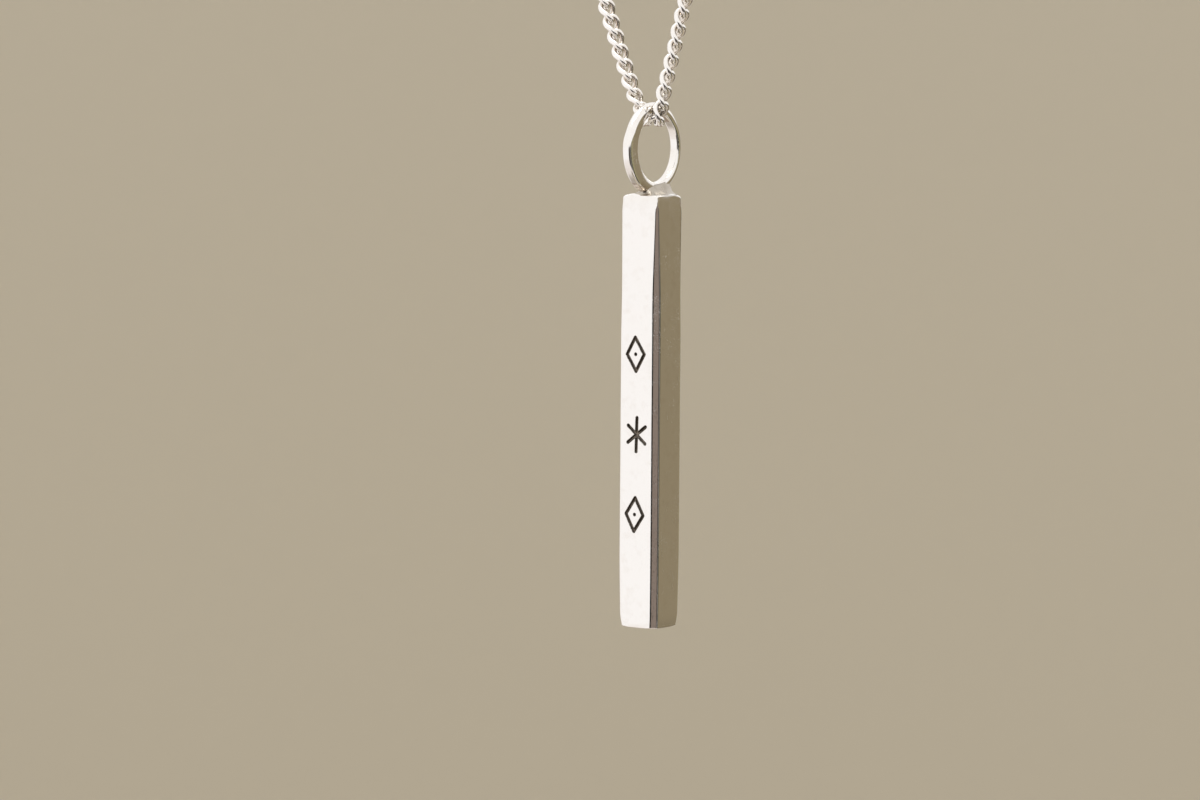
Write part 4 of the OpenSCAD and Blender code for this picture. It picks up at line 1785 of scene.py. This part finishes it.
    def light(self, middle: Vector) -> None:
        """Lights the floor and the metal by a pale room and one large soft lamp that aims at the object.

        The camera doesn't see the lamp itself.

        Args:
            middle: Where the lamp aims, in metres.
        """
        world = bpy.data.worlds.new("soft_room")
        world.use_nodes = True
        sky = world.node_tree.nodes["Background"]
        sky.inputs["Color"].default_value = (*self.room_colour, 1)
        sky.inputs["Strength"].default_value = self.room_light
        bpy.context.scene.world = world
        lamp = bpy.data.lights.new("top_light", "AREA")
        lamp.shape = "SQUARE"
        lamp.size = self.lamp_size * MM
        lamp.energy = self.lamp_power
        lamp.color = self.lamp_colour
        hung = bpy.data.objects.new("top_light", lamp)
        hung.location = Vector(self.lamp_place) * MM
        hung.rotation_euler = (middle - hung.location).to_track_quat("-Z", "Y").to_euler()
        hung.visible_camera = False
        bpy.context.collection.objects.link(hung)

    def camera(self, axis_x: float, ring_height: float) -> None:
        """Sets the camera where the photographer stood.

        Args:
            axis_x: X of the bar's axis.
            ring_height: Z of the ring's middle.
        """
        turn, rise = math.radians(self.azimuth), math.radians(self.elevation)
        aside = Vector((math.cos(turn), math.sin(turn), 0.0))
        aim = Vector((axis_x, 0.0, ring_height - self.aim_drop)) - self.aim_aside * aside
        back = Vector((math.sin(turn) * math.cos(rise), -math.cos(turn) * math.cos(rise), math.sin(rise)))
        data = bpy.data.cameras.new("camera")
        data.sensor_width = self.sensor
        data.lens = self.sensor * self.distance / self.field_width
        data.clip_start, data.clip_end = self.clip
        camera = bpy.data.objects.new("camera", data)
        look = (-back).to_track_quat("-Z", "Y").to_matrix().to_4x4()
        place = Matrix.Translation((aim + back * self.distance) * MM)
        camera.matrix_world = place @ look @ Matrix.Rotation(math.radians(self.roll), 4, "Z")
        bpy.context.collection.objects.link(camera)
        bpy.context.scene.camera = camera


def fit(piece: bpy.types.Object, body: Body, finish: bpy.types.Material, slot: str, *nodes: str) -> None:
    """Dresses a piece, ties it to its body and lets it stand for its CAD nodes.

    Args:
        piece: The new object.
        body: The body that it moves with.
        finish: Its material.
        slot: The record's material slot; not used.
        nodes: The CAD nodes that it replaces.
    """
    piece.data.materials.append(finish)
    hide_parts(*nodes)
    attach(piece, body.value)
    log.info("%s: %d faces, rides on %s", piece.name, len(piece.data.polygons), body.value)


def main() -> None:
    """Builds the pendant, the chain, the clasp and the studio."""
    logging.basicConfig(level=logging.INFO, format="%(name)s: %(message)s")
    route = ChainRoute()
    bar_silver, chain_silver, solder_silver, clasp_silver = (
        finish.material() for finish in (BAR_SILVER, CHAIN_SILVER, SOLDER_SILVER, CLASP_SILVER))
    ring = HangingRing(route)
    bar = StampedBar(ring)
    fit(bar.piece(), Body.PENDANT, bar_silver, "bar_silver", "bar_pendant")
    fit(ring.piece(), Body.PENDANT, bar_silver, "bar_silver", "bar_pendant")
    fit(SolderFoot(bar).piece(), Body.PENDANT, solder_silver, "bar_silver", "bar_pendant")
    chain, clasp = CurbChain(route), RingClasp()
    fit(chain.front(), Body.NECKLACE, chain_silver, "chain_silver", "chain_front")
    for side in Side:
        links = chain.back(side, clasp.last_link(side, chain.link))
        fit(links, Body.NECKLACE, chain_silver, "chain_silver", "chain_back")
        node = f"end_ring_{side.name.lower()}"
        fit(clasp.end_ring(side), Body.NECKLACE, clasp_silver, "clasp_silver", node)
    fit(clasp.clasp(), Body.NECKLACE, clasp_silver, "clasp_silver", "clasp")
    studio = Studio()
    studio.floor(bar.foot)
    studio.soft_panels((bar.foot + ring.height) / 2.0)
    studio.light(Vector((bar.axis, 0.0, bar.top)) * MM)
    studio.camera(bar.axis, ring.height)
    bpy.context.scene.view_settings.view_transform = "Standard"
    bpy.context.view_layer.update()


if __name__ == "__main__":
    main()
